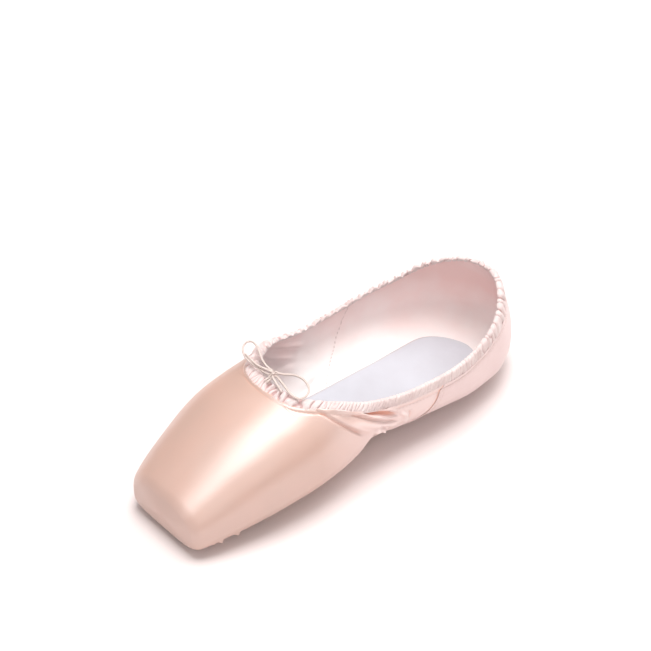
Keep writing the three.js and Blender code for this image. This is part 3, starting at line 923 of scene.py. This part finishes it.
def satin_material(name, pasted, deep, loose, mottle_size):
    """Pasted is the colour over the block, loose the one behind it, and deep the one that the mottling leans
    to, which is also painted shade in troughs and seams. Crests get a painted highlight.
    """
    material, tree, shader = new_material(name)
    uv, place = cloth_map(tree), object_place(tree)
    mottle = noise(tree, place, mottle_size, 3)
    slubs = noise(tree, scaled(tree, uv, (260, 9, 1)), 1, 3, 0.6)
    threads = noise(tree, scaled(tree, uv, (620, 60, 1)), 1, 2, 0.7)
    fold = field(tree, "fold")
    # Painted shade in troughs, seams and the stitching's dip, and a painted highlight on crests.
    trough_shade = remap(tree, fold, -0.2, -2.2, 0, 1)
    crest_highlight = remap(tree, fold, 0.7, 1.8, 0, 0.8)
    mottled, slubbed = remap(tree, mottle, 0.35, 0.75, 0, 0.2), remap(tree, slubs, 0.3, 0.8, 0, 0.1)
    tint = math_node(tree, "MAXIMUM", math_node(tree, "ADD", mottled, slubbed), trough_shade)
    behind_block = remap(tree, axis_of(tree, place, "Y"), -0.045, 0.0, 0, 1)
    cloth = blend_colours(tree, crest_highlight, blend_colours(tree, behind_block, pasted, loose), CREST_HIGHLIGHT)
    soft = bump(tree, mottle, 0.6, 0.5, under=bump(tree, threads, 0.035, 0.8))
    set_sockets(tree, shader, {
        "Base Color": blend_colours(tree, tint, cloth, deep),
        "Roughness": remap(tree, slubs, 0.2, 0.8, 0.44, 0.54),
        "Anisotropic": 0.85,
        "Anisotropic Rotation": 0.25,
        "Tangent": add(tree, "ShaderNodeTangent", direction_type="UV_MAP", uv_map="cloth").outputs["Tangent"],
        "Sheen Weight": 0.25,
        "Sheen Roughness": 0.4,
        "Specular IOR Level": 1.0,
        "IOR": 2.1,
        "Normal": bump(tree, slubs, 0.05, 0.6, under=soft),
    })
    return material


finish_piece(vamp, satin_material("peach satin", PEACH, ORANGE, LOOSE, 22), "satin", "upper")
print("the vamp wears", vamp.data.materials[0].name)

# %% [markdown]
# The quarters are softer: satin over one layer of canvas. Their front edges are turned under and stitched
# down over the vamp in two rows, and they meet in a seam down the back of the heel.

# %% The quarters
QUARTER_ROWS, QUARTER_COLUMNS, QUARTER_PROUD = 130, 110, 0.25


def quarter_relief(back, angle, side):
    """How far the quarter stands off the last: its rolled front edge, the dip of the two rows of stitching
    behind it, the seam down the back of the heel, and soft unevenness."""
    base = last_point(back, angle)
    from_seam = back - seam_back(angle)
    rolled = 0.20 * np.exp(-((from_seam / 0.9) ** 2)) - 0.22 * np.exp(-(((from_seam - 2.6) / 1.6) ** 2))
    back_seam = -0.5 * np.exp(-((base[..., 0] / 0.8) ** 2)) * (back > LENGTH - HEEL_ROUND)
    soft = 0.35 * waves(on_side(base, side), 26, 9) * smooth(from_seam / 8)
    return QUARTER_PROUD + rolled + back_seam + soft + edge_roll(base) + puckers(base, 0.28, 21)


def quarter_half(side):
    """One quarter, from the side seam to the back seam, where its rows crowd together as the heel turns.
    Its fold field paints shade on the back seam and in the dip of the stitching."""
    share = np.linspace(0, 1, QUARTER_ROWS)[:, None]

    def place(angle):
        """Each row's distance back at an angle, from the seam to the heel."""
        return LENGTH - (LENGTH - seam_back(angle)) * (1 - share) ** 1.5

    back, angle = patch(place, bottom_angle, foot_angle, QUARTER_COLUMNS, crowd=1.4)
    points = surface(back, angle, quarter_relief(back, angle, side))
    points[-1, :, 0] = 0
    base = last_point(back, angle)
    # The fold field paints shade on the back seam and in the dip of the stitching.
    back_seam = np.exp(-((base[..., 0] / 0.7) ** 2)) * (back > LENGTH - HEEL_ROUND)
    return points, cloth_uv(back, angle, side), {"fold": -2.2 * sewn_dip(base) - 1.4 * back_seam}


quarters = thicken(make_piece("quarters", *both_sides(quarter_half), weld=SEAM_WELD), 0.5)
finish_piece(quarters, satin_material("pink satin", PINK, BROWN_PINK, PINK, 30), "satin", "upper")

# %% [markdown]
# The lining is white cotton drill, cut from the end of the box to the heel. It faces inwards, so its quads
# run the other way round, and its thickness goes outwards towards the satin. It has creases of its own, but
# wherever the satin dips it gives way, so that the two layers never cross.

# %% The lining
CLEAR_OF_SATIN = 1.3  # how far the lining's face stays inside the satin's, in mm
LINING_FIRST, LINING_ROWS, LINING_COLUMNS, BOX_END_RINGS = 5.0, 150, 70, 7
LINING_FOLDS = [
    (-1.4, 2.2, [(76, 38), (90, 31), (104, 22)]),
    (1.3, 2.4, [(80, 46), (96, 36), (112, 26)]),
    (-1.1, 2.0, [(92, 46), (104, 38), (118, 30)]),
    (0.9, 2.0, [(104, 44), (116, 36), (128, 28)]),
]


def lining_relief(back, angle, side):
    """How far the lining stands off the last, which is inwards by the wall, and its seam from 0 to 1."""
    base = last_point(back, angle)
    seam = np.exp(-(((back - seam_back(angle)) / 0.9) ** 2))
    soft = 0.35 * waves(on_side(base, side), 24, 12) * smooth((angle + 1.1) / 0.5)
    own = fold_relief(base, LINING_FOLDS) + soft + 0.35 * seam
    satin = fold_relief(base, RIGHT_FOLDS + RIGHT_HOLLOW if side > 0 else LEFT_FOLDS + LEFT_HOLLOW)
    return np.minimum(own - wall(back), satin - CLEAR_OF_SATIN), seam


def lining_half(side):
    """The inside of the upper from the end of the box, which rings close, to the heel."""
    share = np.linspace(0, 1, LINING_ROWS)[:, None]

    def place(angle):
        """Each row's distance back, which is the same at every angle."""
        return LENGTH - (LENGTH - LINING_FIRST) * (1 - share) ** 1.15 + 0 * angle

    def lowest(back):
        """The angle at the middle of the underside."""
        return angle_at_half(back, np.zeros_like(back))

    back, angle = patch(place, lowest, lining_top, LINING_COLUMNS)
    relief, seam = lining_relief(back, angle, side)
    points = surface(back, angle, relief)
    points[-1, :, 0] = 0
    points[..., 0] = np.where(np.abs(angle) > np.pi / 2 - 1e-6, 0, points[..., 0])
    middle = points[0].mean(0) * np.array([0, 1, 1])
    shares = np.linspace(0, 1, BOX_END_RINGS, endpoint=False)[:, None, None]
    rings = np.zeros((BOX_END_RINGS, LINING_COLUMNS))
    points = np.concatenate([middle + (points[:1] - middle) * shares, points])
    uv = cloth_uv(np.concatenate([rings, back]), np.concatenate([rings + angle[:1], angle]), side)
    return points, uv, {"seam": np.concatenate([rings, np.minimum(seam, 1)])}


lining = thicken(make_piece("lining", *both_sides(lining_half, inwards=True), weld=SEAM_WELD), 0.4)

# %% [markdown]
# The drill has a plain weave and has taken a little of the paste's colour. Low down it is left pale, where
# it catches the light, and towards the collar and the heel it gets a painted rosy shade, warm like the light
# that shines through the satin. Its side seam is a dark line, and it comes from the same field that raises
# the seam.

# %% The lining's cotton
# The rosy colour is painted shade, warm like the light that shines through the satin.
COTTON, COTTON_ROSY_SHADE, SEAM_SHADE = (0.96, 0.91, 0.895), (0.94, 0.68, 0.65), (0.50, 0.36, 0.33)


def lining_material():
    """White cotton with a painted rosy shade that grows with height above a low edge that drops towards the
    heel, and dark at the seam.
    """
    material, tree, shader = new_material("cotton lining")
    uv, place = cloth_map(tree), object_place(tree)
    # Painted rosy shade that grows with height above a low edge, which drops towards the heel.
    low_edge = remap(tree, axis_of(tree, place, "Y"), 0.02, 0.1, 0.012, 0.0)
    above = math_node(tree, "SUBTRACT", axis_of(tree, place, "Z"), low_edge)
    patchy = remap(tree, noise(tree, place, 35, 4), 0.35, 0.7, -0.15, 0.25)
    rosy_shade = math_node(tree, "ADD", remap(tree, above, 0.002, 0.04, 0.05, 0.95), patchy)
    tint = add(tree, "ShaderNodeClamp", {"Value": rosy_shade}).outputs[0]
    dark = remap(tree, field(tree, "seam"), 0.55, 1, 0, 0.75)
    warp_and_weft = math_node(tree, "ADD", wave(tree, uv, 190, "X"), wave(tree, uv, 190, "Y"))
    weave = bump(tree, warp_and_weft, 0.06, 0.7)
    set_sockets(tree, shader, {
        "Base Color": blend_colours(tree, dark, blend_colours(tree, tint, COTTON, COTTON_ROSY_SHADE), SEAM_SHADE),
        "Roughness": 0.82,
        "Sheen Weight": 0.15,
        "Normal": bump(tree, noise(tree, place, 240, 3), 0.12, 0.5, under=weave),
    })
    return material


finish_piece(lining, lining_material(), "satin", "upper")
print("the lining wears", lining.data.materials[0].name)

# %% [markdown]
# The binding is a ribbon folded over the collar with the drawstring inside it. Pulling the string up gathers
# it, so it stands in small puffs with pinched creases between them: fine ribs at the waist, bigger scallops
# along the far rim and round the heel, and a deep ruche at the throat. A short table says how the gathers
# change on the way round, and sine waves that close on themselves keep any two from being the same.

# %% How the gathers change
# place runs from 0 at the throat by the right side, 0.5 at the heel, to 1 at the throat again. pitch and
# height are a gather's length and depth in mm, scallop how far the edge itself rises and falls, full how
# much the ribbon bellies out, and wander how far the edge strays in long waves.
GATHERS = table("place pitch height scallop full wander", [
    (0.00, 2.6, 1.45, 0.6, 1.0, 0.3),
    (0.03, 5.2, 1.55, 0.5, 1.3, 0.4),
    (0.06, 5.0, 1.25, 0.4, 1.0, 0.3),
    (0.09, 2.8, 0.60, 0.25, 0.6, 0.2),
    (0.14, 2.1, 0.50, 0.15, 0.5, 0.1),
    (0.30, 2.1, 0.55, 0.2, 0.55, 0.1),
    (0.36, 3.2, 0.75, 0.4, 0.75, 0.2),
    (0.42, 4.8, 1.05, 0.75, 1.0, 0.3),
    (0.50, 4.8, 1.05, 0.85, 1.0, 0.5),
    (0.58, 3.6, 0.80, 1.0, 0.8, 1.1),
    (0.75, 3.2, 0.70, 1.0, 0.7, 1.3),
    (0.87, 3.6, 0.80, 1.0, 0.8, 1.1),
    (0.91, 4.6, 1.60, 1.6, 1.7, 0.8),
    (0.94, 4.8, 1.90, 1.7, 1.8, 0.6),
    (0.975, 2.3, 1.45, 0.6, 0.9, 0.3),
    (1.00, 2.6, 1.45, 0.6, 1.0, 0.3),
])
INSIDE_SHARE = 0.74  # how far up from the foot the ribbon ends inside
LONG_WAVES = 58  # long waves of the edge in the whole loop


def loop_line(rows, count):
    """One of the collar's lines all round: backs, angles and side, by the right to the heel and back."""
    back, angle, length = line_half(rows, count + 1)
    side = np.concatenate([np.ones(count + 1), -np.ones(count - 1)])
    return np.concatenate([back, back[-2:0:-1]]), np.concatenate([angle, angle[-2:0:-1]]), side, length


def ripple(spin, terms):
    """A sum of sine waves that closes on itself round the loop: strength x sin(turns x spin + start)."""
    return sum(strength * np.sin(turns * spin + start) for strength, turns, start in terms)


print("gathers are", GATHERS["pitch"].min(), "to", GATHERS["pitch"].max(), "mm long")

# %% [markdown]
# The ribbon is a closed tube of cloth with two parameters: one runs round the collar, the other round the
# folded ribbon's section. The gathers are worked out over the whole grid at once. An array of copied puffs
# would be simpler, but they would meet in straight lines, where real ones lean, split and run together.

# %% The gathered binding
BINDING_HALF_COUNT, BINDING_COLUMNS = 1000, 34


def gather_phase(place, step):
    """The gathers' phase round the loop, which grows by one for each pitch and ends on a whole number, then
    wanders a little, and the gathers' strength there."""
    phase = np.cumsum(step / column(GATHERS, "pitch", place, "place"))
    phase *= np.round(phase[-1]) / phase[-1]
    spin = 2 * np.pi * place
    phase = phase + ripple(spin, [(0.20, 9, 1), (0.18, 23, 2), (0.14, 47, 0), (0.10, 83, 4)])
    return phase, 1 + ripple(spin, [(0.25, 17, 0.5), (0.22, 41, 2.2), (0.16, 67, 1)])


def gather_folds(phase, spin, up):
    """Puffs as |cos|^0.8 of the phase, which leans and sways up the ribbon, and finer ones between them as
    |cos|^0.9 of twice the phase, strongest at the foot. Also how far both stand out, before their height."""
    sway = 0.13 * np.sin(31 * spin + 4 * up) + 0.08 * np.sin(73 * spin - 5 * up)
    folded = phase + sway + 0.22 * up
    puff = np.abs(np.cos(np.pi * folded)) ** 0.8
    split = np.abs(np.cos(np.pi * (2 * folded + 0.3 + 0.5 * up))) ** 0.9
    near_foot = 1 - smooth(up / 0.55)
    depth = (puff - 0.62) * (0.45 + 0.55 * smooth(up / 0.4)) + 0.35 * (split - 0.6) * (0.4 + near_foot)
    crease = np.clip((0.55 - puff) / 0.5, 0, 1) + 0.6 * np.clip((0.35 - split) / 0.35, 0, 1) * near_foot
    return puff, depth, crease


def binding_shape():
    """The ribbon's section goes up the outside from the foot, over the edge and down inside. Each point is
    between the foot's place and the edge's place on the last, grown by the section's width there, plus the
    gathers. Along the edge the puffs and some long waves lift it as well."""
    edge_back, edge_angle, side, half_length = loop_line(COLLAR, BINDING_HALF_COUNT)
    foot_back, foot_turn, _, _ = loop_line(BINDING_FOOT, BINDING_HALF_COUNT)
    place = np.arange(len(side)) / len(side)
    step = 2 * half_length / len(side)
    height, scallop, full, wander = (
        column(GATHERS, name, place, "place") for name in ("height", "scallop", "full", "wander")
    )
    phase, strength = gather_phase(place, step)
    spin = 2 * np.pi * place

    turn = np.linspace(0, 2 * np.pi, BINDING_COLUMNS, endpoint=False)[None, :]
    up, outside = (1 - np.cos(turn)) / 2, np.sin(turn)
    puff, depth, crease = gather_folds(phase[:, None], spin[:, None], up)
    rise = (height * strength)[:, None] * depth

    share = np.where(outside < -1e-9, INSIDE_SHARE + (1 - INSIDE_SHARE) * up, up)
    back = foot_back[:, None] + (edge_back - foot_back)[:, None] * share
    angle = foot_turn[:, None] + (edge_angle - foot_turn)[:, None] * share
    thick = wall(back)
    belly = full[:, None] * np.sin(np.pi * up) ** 0.7 * (0.6 + 0.4 * puff)
    out = np.where(outside >= 0, 0.12 + 0.75 * belly, -thick - 0.1 - 0.35 * belly)
    over_top = smooth((up - 0.84) / 0.16)
    out = out * (1 - over_top) + (-thick / 2 + (thick / 2 + 0.6) * outside) * over_top
    out = out + rise * np.where(outside >= 0, 1, -0.6) * (1 - 0.4 * over_top)
    points = surface(back, angle, out)
    long_wave = np.abs(np.sin(LONG_WAVES * spin / 2 + ripple(spin, [(0.9, 5, 0), (0.5, 13, 1)]))) - 0.6
    edge_lift = (scallop * strength)[:, None] * (puff - 0.45) + (wander * long_wave)[:, None]
    points[..., 2] += edge_lift * smooth((up - 0.45) / 0.5)
    points[..., 0] *= side[:, None]
    uv = np.stack(np.broadcast_arrays((np.arange(len(side)) * step)[:, None], turn * 3.0), -1)
    return points, uv, np.clip(crease * height[:, None] / 0.8, 0, 1)


points, uv, crease = binding_shape()
quads = grid_faces(*points.shape[:2], close_rows=True, close_cols=True, flip=True)
binding = make_piece("gathered_binding", points, quads, uv, {"crease": crease})

# %% [markdown]
# The ribbon is a fine ribbed cotton tape, whiter than the satin beside it. Its pinched creases are dusky,
# and they come from the same numbers as the puffs, so that colour and shape always agree.

# %% The ribbon
TAPE, CREASE_SHADE = (0.80, 0.68, 0.66), (0.52, 0.31, 0.30)


def binding_material():
    """Pale tape that darkens in its creases, with fine ribs across it and a slight crumple."""
    material, tree, shader = new_material("gathered ribbon")
    uv, place = cloth_map(tree), object_place(tree)
    patchy = remap(tree, noise(tree, place, 60, 3), 0.35, 0.7, 0, 0.3)
    tint = math_node(tree, "MAXIMUM", remap(tree, field(tree, "crease"), 0.2, 0.9, 0, 0.85), patchy)
    weave = bump(tree, wave(tree, uv, 260, "X", 1.0), 0.05, 0.6)
    crumple = noise(tree, scaled(tree, uv, (70, 30, 1)), 1, 3)
    set_sockets(tree, shader, {
        "Base Color": blend_colours(tree, tint, TAPE, CREASE_SHADE),
        "Roughness": 0.52,
        "Sheen Weight": 0.3,
        "Normal": bump(tree, crumple, 0.25, 0.5, under=weave),
    })
    return material


finish_piece(binding, binding_material(), "ribbon", "binding")
print("the binding wears", binding.data.materials[0].name)

# %% [markdown]
# The sock is a thin grey-white cloth glued to the insole board. It stops short of the back of the heel. The
# sheet lies over the board, a little domed at its edges, and follows the last's own underside.

# %% The sock
SOCK_ROWS, SOCK_COLUMNS, BOARD_GAP, BOARD_THICK, SOCK_THICK = 130, 41, 0.3, 2.2, 0.8


def sock_shape():
    """Rows along the sock and columns across it: x is the outline's half width times a share, and the
    height is that of the last's underside raised by the wall, the margin and the board."""
    share = np.linspace(0, 1, SOCK_ROWS)[:, None]
    first, end = INSOLE_OUTLINE["back"][0], INSOLE_OUTLINE["back"][-1]
    back = (first + end) / 2 - (end - first) / 2 * np.cos(np.pi * share)
    across = np.linspace(-1, 1, SOCK_COLUMNS)[None, :]
    across = np.sign(across) * (1 - (1 - np.abs(across)) ** 1.5)
    x = across * outline_half(INSOLE_OUTLINE, back)
    angle = angle_at_half(back, np.abs(x))
    raised = BOARD_GAP + BOARD_THICK * (1 - np.abs(across) ** 14 * 0.8)
    points = surface(np.broadcast_to(back, angle.shape), angle, -(wall(back) + raised))
    points[..., 2] += 0.12 * waves(points, 18, 3)
    points[..., 0] *= np.where(x < 0, -1, 1)
    edge = np.maximum(np.abs(across) ** 40, smooth((np.abs(2 * share - 1) - 0.95) / 0.05))
    return points, np.stack(np.broadcast_arrays(x, back), -1), edge


points, uv, edge = sock_shape()
quads = grid_faces(*points.shape[:2], flip=True)
sock = thicken(make_piece("sock", points, quads, uv, {"edge": edge}, weld=END_WELD), SOCK_THICK)

# %% [markdown]
# Its cloth is a brushed twill: diagonal bands under a soft nap, a little blotchy, and darker in the narrow
# line where its edge turns down to the lining.

# %% The sock's cloth
GREY, DEEPER_GREY, EDGE_SHADE = (0.53, 0.54, 0.585), (0.48, 0.48, 0.52), (0.36, 0.29, 0.30)


def sock_material():
    """Two greys by clouds of noise, dark at the edge, with a twill under a fine nap."""
    material, tree, shader = new_material("brushed sock cloth")
    uv, place = cloth_map(tree), object_place(tree)
    patchy = remap(tree, noise(tree, place, 40, 4), 0.3, 0.7, 0, 1)
    cloth = blend_colours(tree, patchy, GREY, DEEPER_GREY)
    weave = bump(tree, wave(tree, uv, 150, "DIAGONAL", 0.6), 0.06, 0.6)
    set_sockets(tree, shader, {
        "Base Color": blend_colours(tree, field(tree, "edge"), cloth, EDGE_SHADE),
        "Roughness": 0.9,
        "Sheen Weight": 0.3,
        "Normal": bump(tree, noise(tree, place, 420, 3), 0.15, 0.6, under=weave),
    })
    return material


finish_piece(sock, sock_material(), "sock", "insole")
print("the sock wears", sock.data.materials[0].name)

# %% [markdown]
# The outsole is one thin piece of split leather, narrow at the waist, thinned at its edge, and pressed flat
# where it treads. Its section is a flattened ring that goes across the underside and back over the top.

# %% The outsole
SOLE_THICK, SOLE_GAP, SOLE_ROWS, SOLE_COLUMNS = 3.0, 0.1, 190, 72


def underside(back, x):
    """The last's underside at a distance from its middle line, from the section's superellipse."""
    wide, belly, _, down, _, full = section(back)
    share = np.clip(np.abs(x) / np.maximum(wide, 1e-6), 0, 1)
    return belly - down * (1 - share**full) ** (1 / full)


def outsole_shape():
    """Rings along the sole: x = |cos|^0.55 of the outline's half width, and z = |sin|^0.3 between the floor
    side and the foot side. The floor side is the underside less the thickness, and never below the floor."""
    share = np.linspace(0, 1, SOLE_ROWS)[:, None]
    first, end = SOLE_OUTLINE["back"][0], SOLE_OUTLINE["back"][-1]
    back = (first + end) / 2 - (end - first) / 2 * np.cos(np.pi * share)
    turn = np.linspace(0, 2 * np.pi, SOLE_COLUMNS, endpoint=False)[None, :]
    c, s = np.cos(turn), np.sin(turn)
    across, through = np.sign(c) * np.abs(c) ** 0.55, np.sign(s) * np.abs(s) ** 0.3
    x = across * outline_half(SOLE_OUTLINE, back)
    high = underside(back, x) - SOLE_GAP
    low = np.maximum(0, high - SOLE_THICK * (1 - 0.35 * np.abs(across) ** 6))
    z = (low + high) / 2 + (high - low) / 2 * through
    y = np.broadcast_to(back - LENGTH / 2, z.shape)
    return np.stack([x, y, z], -1), np.stack([x, np.broadcast_to(back, x.shape)], -1)


points, uv = outsole_shape()
quads = grid_faces(*points.shape[:2], close_cols=True)
sole = make_piece("leather_outsole", points, quads, uv, weld=END_WELD)

# %% [markdown]
# Split leather is the rough inner layer of the hide. It is matt and tan, darker where the nap lies down, with
# fine pores, and long scuffs that run from the heel to the toe.

# %% The sole's leather
DARK_TAN, TAN = (0.52, 0.36, 0.25), (0.70, 0.53, 0.40)


def leather_material():
    """Two tans by nap and scuffs together, rougher where the nap stands up, over fine pores."""
    material, tree, shader = new_material("split leather")
    place = object_place(tree)
    nap = noise(tree, place, 60, 6, 0.6)
    scuff = noise(tree, scaled(tree, place, (160, 30, 30)), 1, 4)
    shade = remap(tree, math_node(tree, "ADD", nap, scuff), 0.7, 1.35, 0, 1)
    pores = add(tree, "ShaderNodeTexVoronoi", {"Vector": place, "Scale": 900}).outputs["Distance"]
    fine = bump(tree, pores, 0.12, 0.5)
    set_sockets(tree, shader, {
        "Base Color": blend_colours(tree, shade, DARK_TAN, TAN),
        "Roughness": remap(tree, nap, 0.3, 0.7, 0.6, 0.85),
        "Normal": bump(tree, noise(tree, place, 300, 4), 0.2, 0.6, under=fine),
    })
    return material


finish_piece(sole, leather_material(), "leather", "outsole")
print("the sole wears", sole.data.materials[0].name)

# %% [markdown]
# Stitches are short rounded bars that sink into the cloth at both ends. Each row is made at once from the
# places where its stitches start, and all the rows of one seam are a single piece.

# %% Stitches
STITCH_RINGS, STITCH_SIDES = 6, 6


def along_rows(values, run, at):
    """Values given along a line, at other distances along it."""
    return np.stack([np.interp(at, run, values[:, k]) for k in range(3)], -1)


def stitch_points(line, out, length, gap, radius):
    """Stitches along one row, which is a line of points and the outward normals there: six-sided bars whose
    radius follows a half sine, bowed out over the cloth."""
    run = np.concatenate([[0], np.cumsum(np.linalg.norm(np.diff(line, axis=0), axis=1))])
    starts = np.arange(0.5, run[-1] - length, length + gap)
    t = np.linspace(0, 1, STITCH_RINGS)
    at = starts[:, None] + t[None] * length
    place, lift = along_rows(line, run, at), along_rows(out, run, at)
    lift /= np.linalg.norm(lift, axis=-1, keepdims=True)
    ahead = np.gradient(place, axis=1)
    ahead /= np.linalg.norm(ahead, axis=-1, keepdims=True)
    beside = np.cross(ahead, lift)
    bow = np.sin(np.pi * t)[None, :, None]
    middle = place + lift * radius * (1.1 * bow - 0.5)
    turn = np.linspace(0, 2 * np.pi, STITCH_SIDES, endpoint=False)[:, None]
    ring = lift[:, :, None] * np.cos(turn) + beside[:, :, None] * np.sin(turn)
    return middle[:, :, None] + ring * radius * (0.35 + 0.65 * bow)[..., None]


def sewn_rows(name, rows, length, gap, radius, material):
    """All the stitches of a seam as one piece: each is a closed bar, its two ends shut by two quads each."""
    points = np.concatenate([stitch_points(line, out, length, gap, radius) for line, out in rows])
    bar = grid_faces(STITCH_RINGS, STITCH_SIDES, close_cols=True)
    ends = np.array([[0, 1, 2, 3], [0, 3, 4, 5], [33, 32, 31, 30], [35, 34, 33, 30]])
    one = np.concatenate([bar, ends])[:, ::-1]
    offset = STITCH_RINGS * STITCH_SIDES * np.arange(len(points))[:, None, None]
    print(name, "has", len(points), "stitches")
    return finish_piece(make_piece(name, points, (one + offset).reshape(-1, 4)), material, "satin")


# %% [markdown]
# The thread is a twisted pink cotton. At this size a speckle of light and dark is enough for its twist.

# %% Thread
THREAD_PINK = (0.86, 0.68, 0.64)
THREAD_SHADE = 0.8  # how much light is left between the thread's strands


def thread_material():
    """One pink, and a darker one in the twist."""
    material, tree, shader = new_material("pink thread")
    twist = noise(tree, object_place(tree), 1500, 2)
    dark = tuple(THREAD_SHADE * part for part in THREAD_PINK)
    set_sockets(tree, shader, {
        "Base Color": blend_colours(tree, remap(tree, twist, 0.3, 0.7, 0, 1), dark, THREAD_PINK),
        "Roughness": 0.55,
        "Normal": bump(tree, twist, 0.05),
    })
    return material


THREAD = thread_material()
print("made", THREAD.name)

# %% [markdown]
# Two rows hold down the front edge of each quarter, and one row runs below the binding all the way round.
# A row follows its seam at a set distance and takes its height from the cloth under it, so that each stitch
# sits on the satin as it really lies.

# %% The rows of stitches
SEAM_ROWS_BEHIND = (1.7, 3.6)  # mm behind the quarter's front edge
ROW_BELOW_BINDING = 1.6  # mm


def sewn_line(back, angle, side):
    """A line on the outside of the cloth and its outward normals, on either side of the shoe."""
    on_vamp, _ = vamp_relief(back, angle, side)
    relief = np.where(back < seam_back(angle), on_vamp, quarter_relief(back, angle, side))
    return on_side(surface(back, angle, relief), side), on_side(normal(back, angle), side)


def side_seam_row(side, behind):
    """A row behind a side seam, from the sole up to the binding."""
    angle = np.linspace(np.radians(-62), np.radians(24), 160)
    back = seam_back(angle) + behind
    keep = angle < foot_angle(back) - 0.05
    return sewn_line(back[keep], angle[keep], side)


def binding_row(side):
    """A row a little below the foot of the binding, from the throat to the back seam."""
    back, angle, _ = line_half(BINDING_FOOT, 900)
    behind = angle < np.pi / 2 - 0.08
    return sewn_line(back[behind], angle[behind] - ROW_BELOW_BINDING / GIRTH_RADIUS, side)


seam_rows = [side_seam_row(side, behind) for side in (1, -1) for behind in SEAM_ROWS_BEHIND]
sewn_rows("side_seam_stitches", seam_rows, 1.5, 0.8, 0.17, THREAD)
sewn_rows("binding_stitches", [binding_row(side) for side in (1, -1)], 1.3, 1.0, 0.16, THREAD)

# %% [markdown]
# The shoe stands on a plain pale floor, a wide sheet just under the sole. It isn't part of the shoe, but the
# renders show it.

# %% The floor
FLOOR_HALF, FLOOR_DROP = 3000.0, 0.2
# The floor's trace of pink is a painted tint that warms its shadows like light bounced from the satin.
FLOOR_BOUNCE_TINT = (0.79, 0.72, 0.71, 1)


def floor_material():
    """Plain matt paint with a trace of pink, a painted tint that warms the shadows as light bounced from the
    satin would, while the lit floor still comes out white.
    """
    material, tree, shader = new_material("pale floor")
    set_sockets(tree, shader, {"Base Color": FLOOR_BOUNCE_TINT, "Roughness": 0.9})
    return material


corners = np.array([(-1, -1), (1, -1), (1, 1), (-1, 1)]) * FLOOR_HALF
floor = make_piece("floor", np.column_stack([corners, np.full(4, -FLOOR_DROP)]), np.array([[0, 1, 2, 3]]))
floor.data.materials.append(floor_material())

# %% [markdown]
# Satin shows its broad highlight only under broad lights, so there are three soft squares: a smaller one
# overhead for the bright band on the box, a wide one behind it for the collar and the lining, and a weak one
# low on the right for the folds. A dim warm sky fills the shadows, brighter towards its top.

# %% Light
LIGHTS = [  # name, place in metres, size in metres and power in watts
    ("overhead softbox", (0.0, -0.05, 1.7), 0.85, 19),
    ("wide top light", (-0.05, 0.65, 1.75), 1.6, 23),
    ("low fill from the right", (1.15, -0.75, 0.95), 1.4, 7.2),
]
LIT_POINT = Vector((0, 0, 0.03))
SKY_COLOUR, SKY_LOW, SKY_HIGH = (1, 0.94, 0.92, 1), 0.18, 0.56


def area_light(name, place, size, power):
    """A square soft light at a place, aimed at the shoe."""
    data = bpy.data.lights.new(name, "AREA")
    data.size, data.energy = size, power
    light = bpy.data.objects.new(name, data)
    light.location = place
    light.rotation_mode = "QUATERNION"
    light.rotation_quaternion = (LIT_POINT - Vector(place)).to_track_quat("-Z", "Y")
    bpy.context.scene.collection.objects.link(light)


def sky():
    """A world whose strength rises with the height of the direction looked in."""
    world = bpy.data.worlds.new("studio")
    world.use_nodes = True
    tree = world.node_tree
    direction = add(tree, "ShaderNodeTexCoord").outputs["Generated"]
    strength = remap(tree, axis_of(tree, direction, "Z"), 0.05, 0.75, SKY_LOW, SKY_HIGH)
    set_sockets(tree, tree.nodes["Background"], {"Color": SKY_COLOUR, "Strength": strength})
    return world


for name, place, size, power in LIGHTS:
    area_light(name, place, size, power)
bpy.context.scene.world = sky()
bpy.context.scene.view_settings.view_transform = "Standard"
print(len(LIGHTS), "lights and a sky")
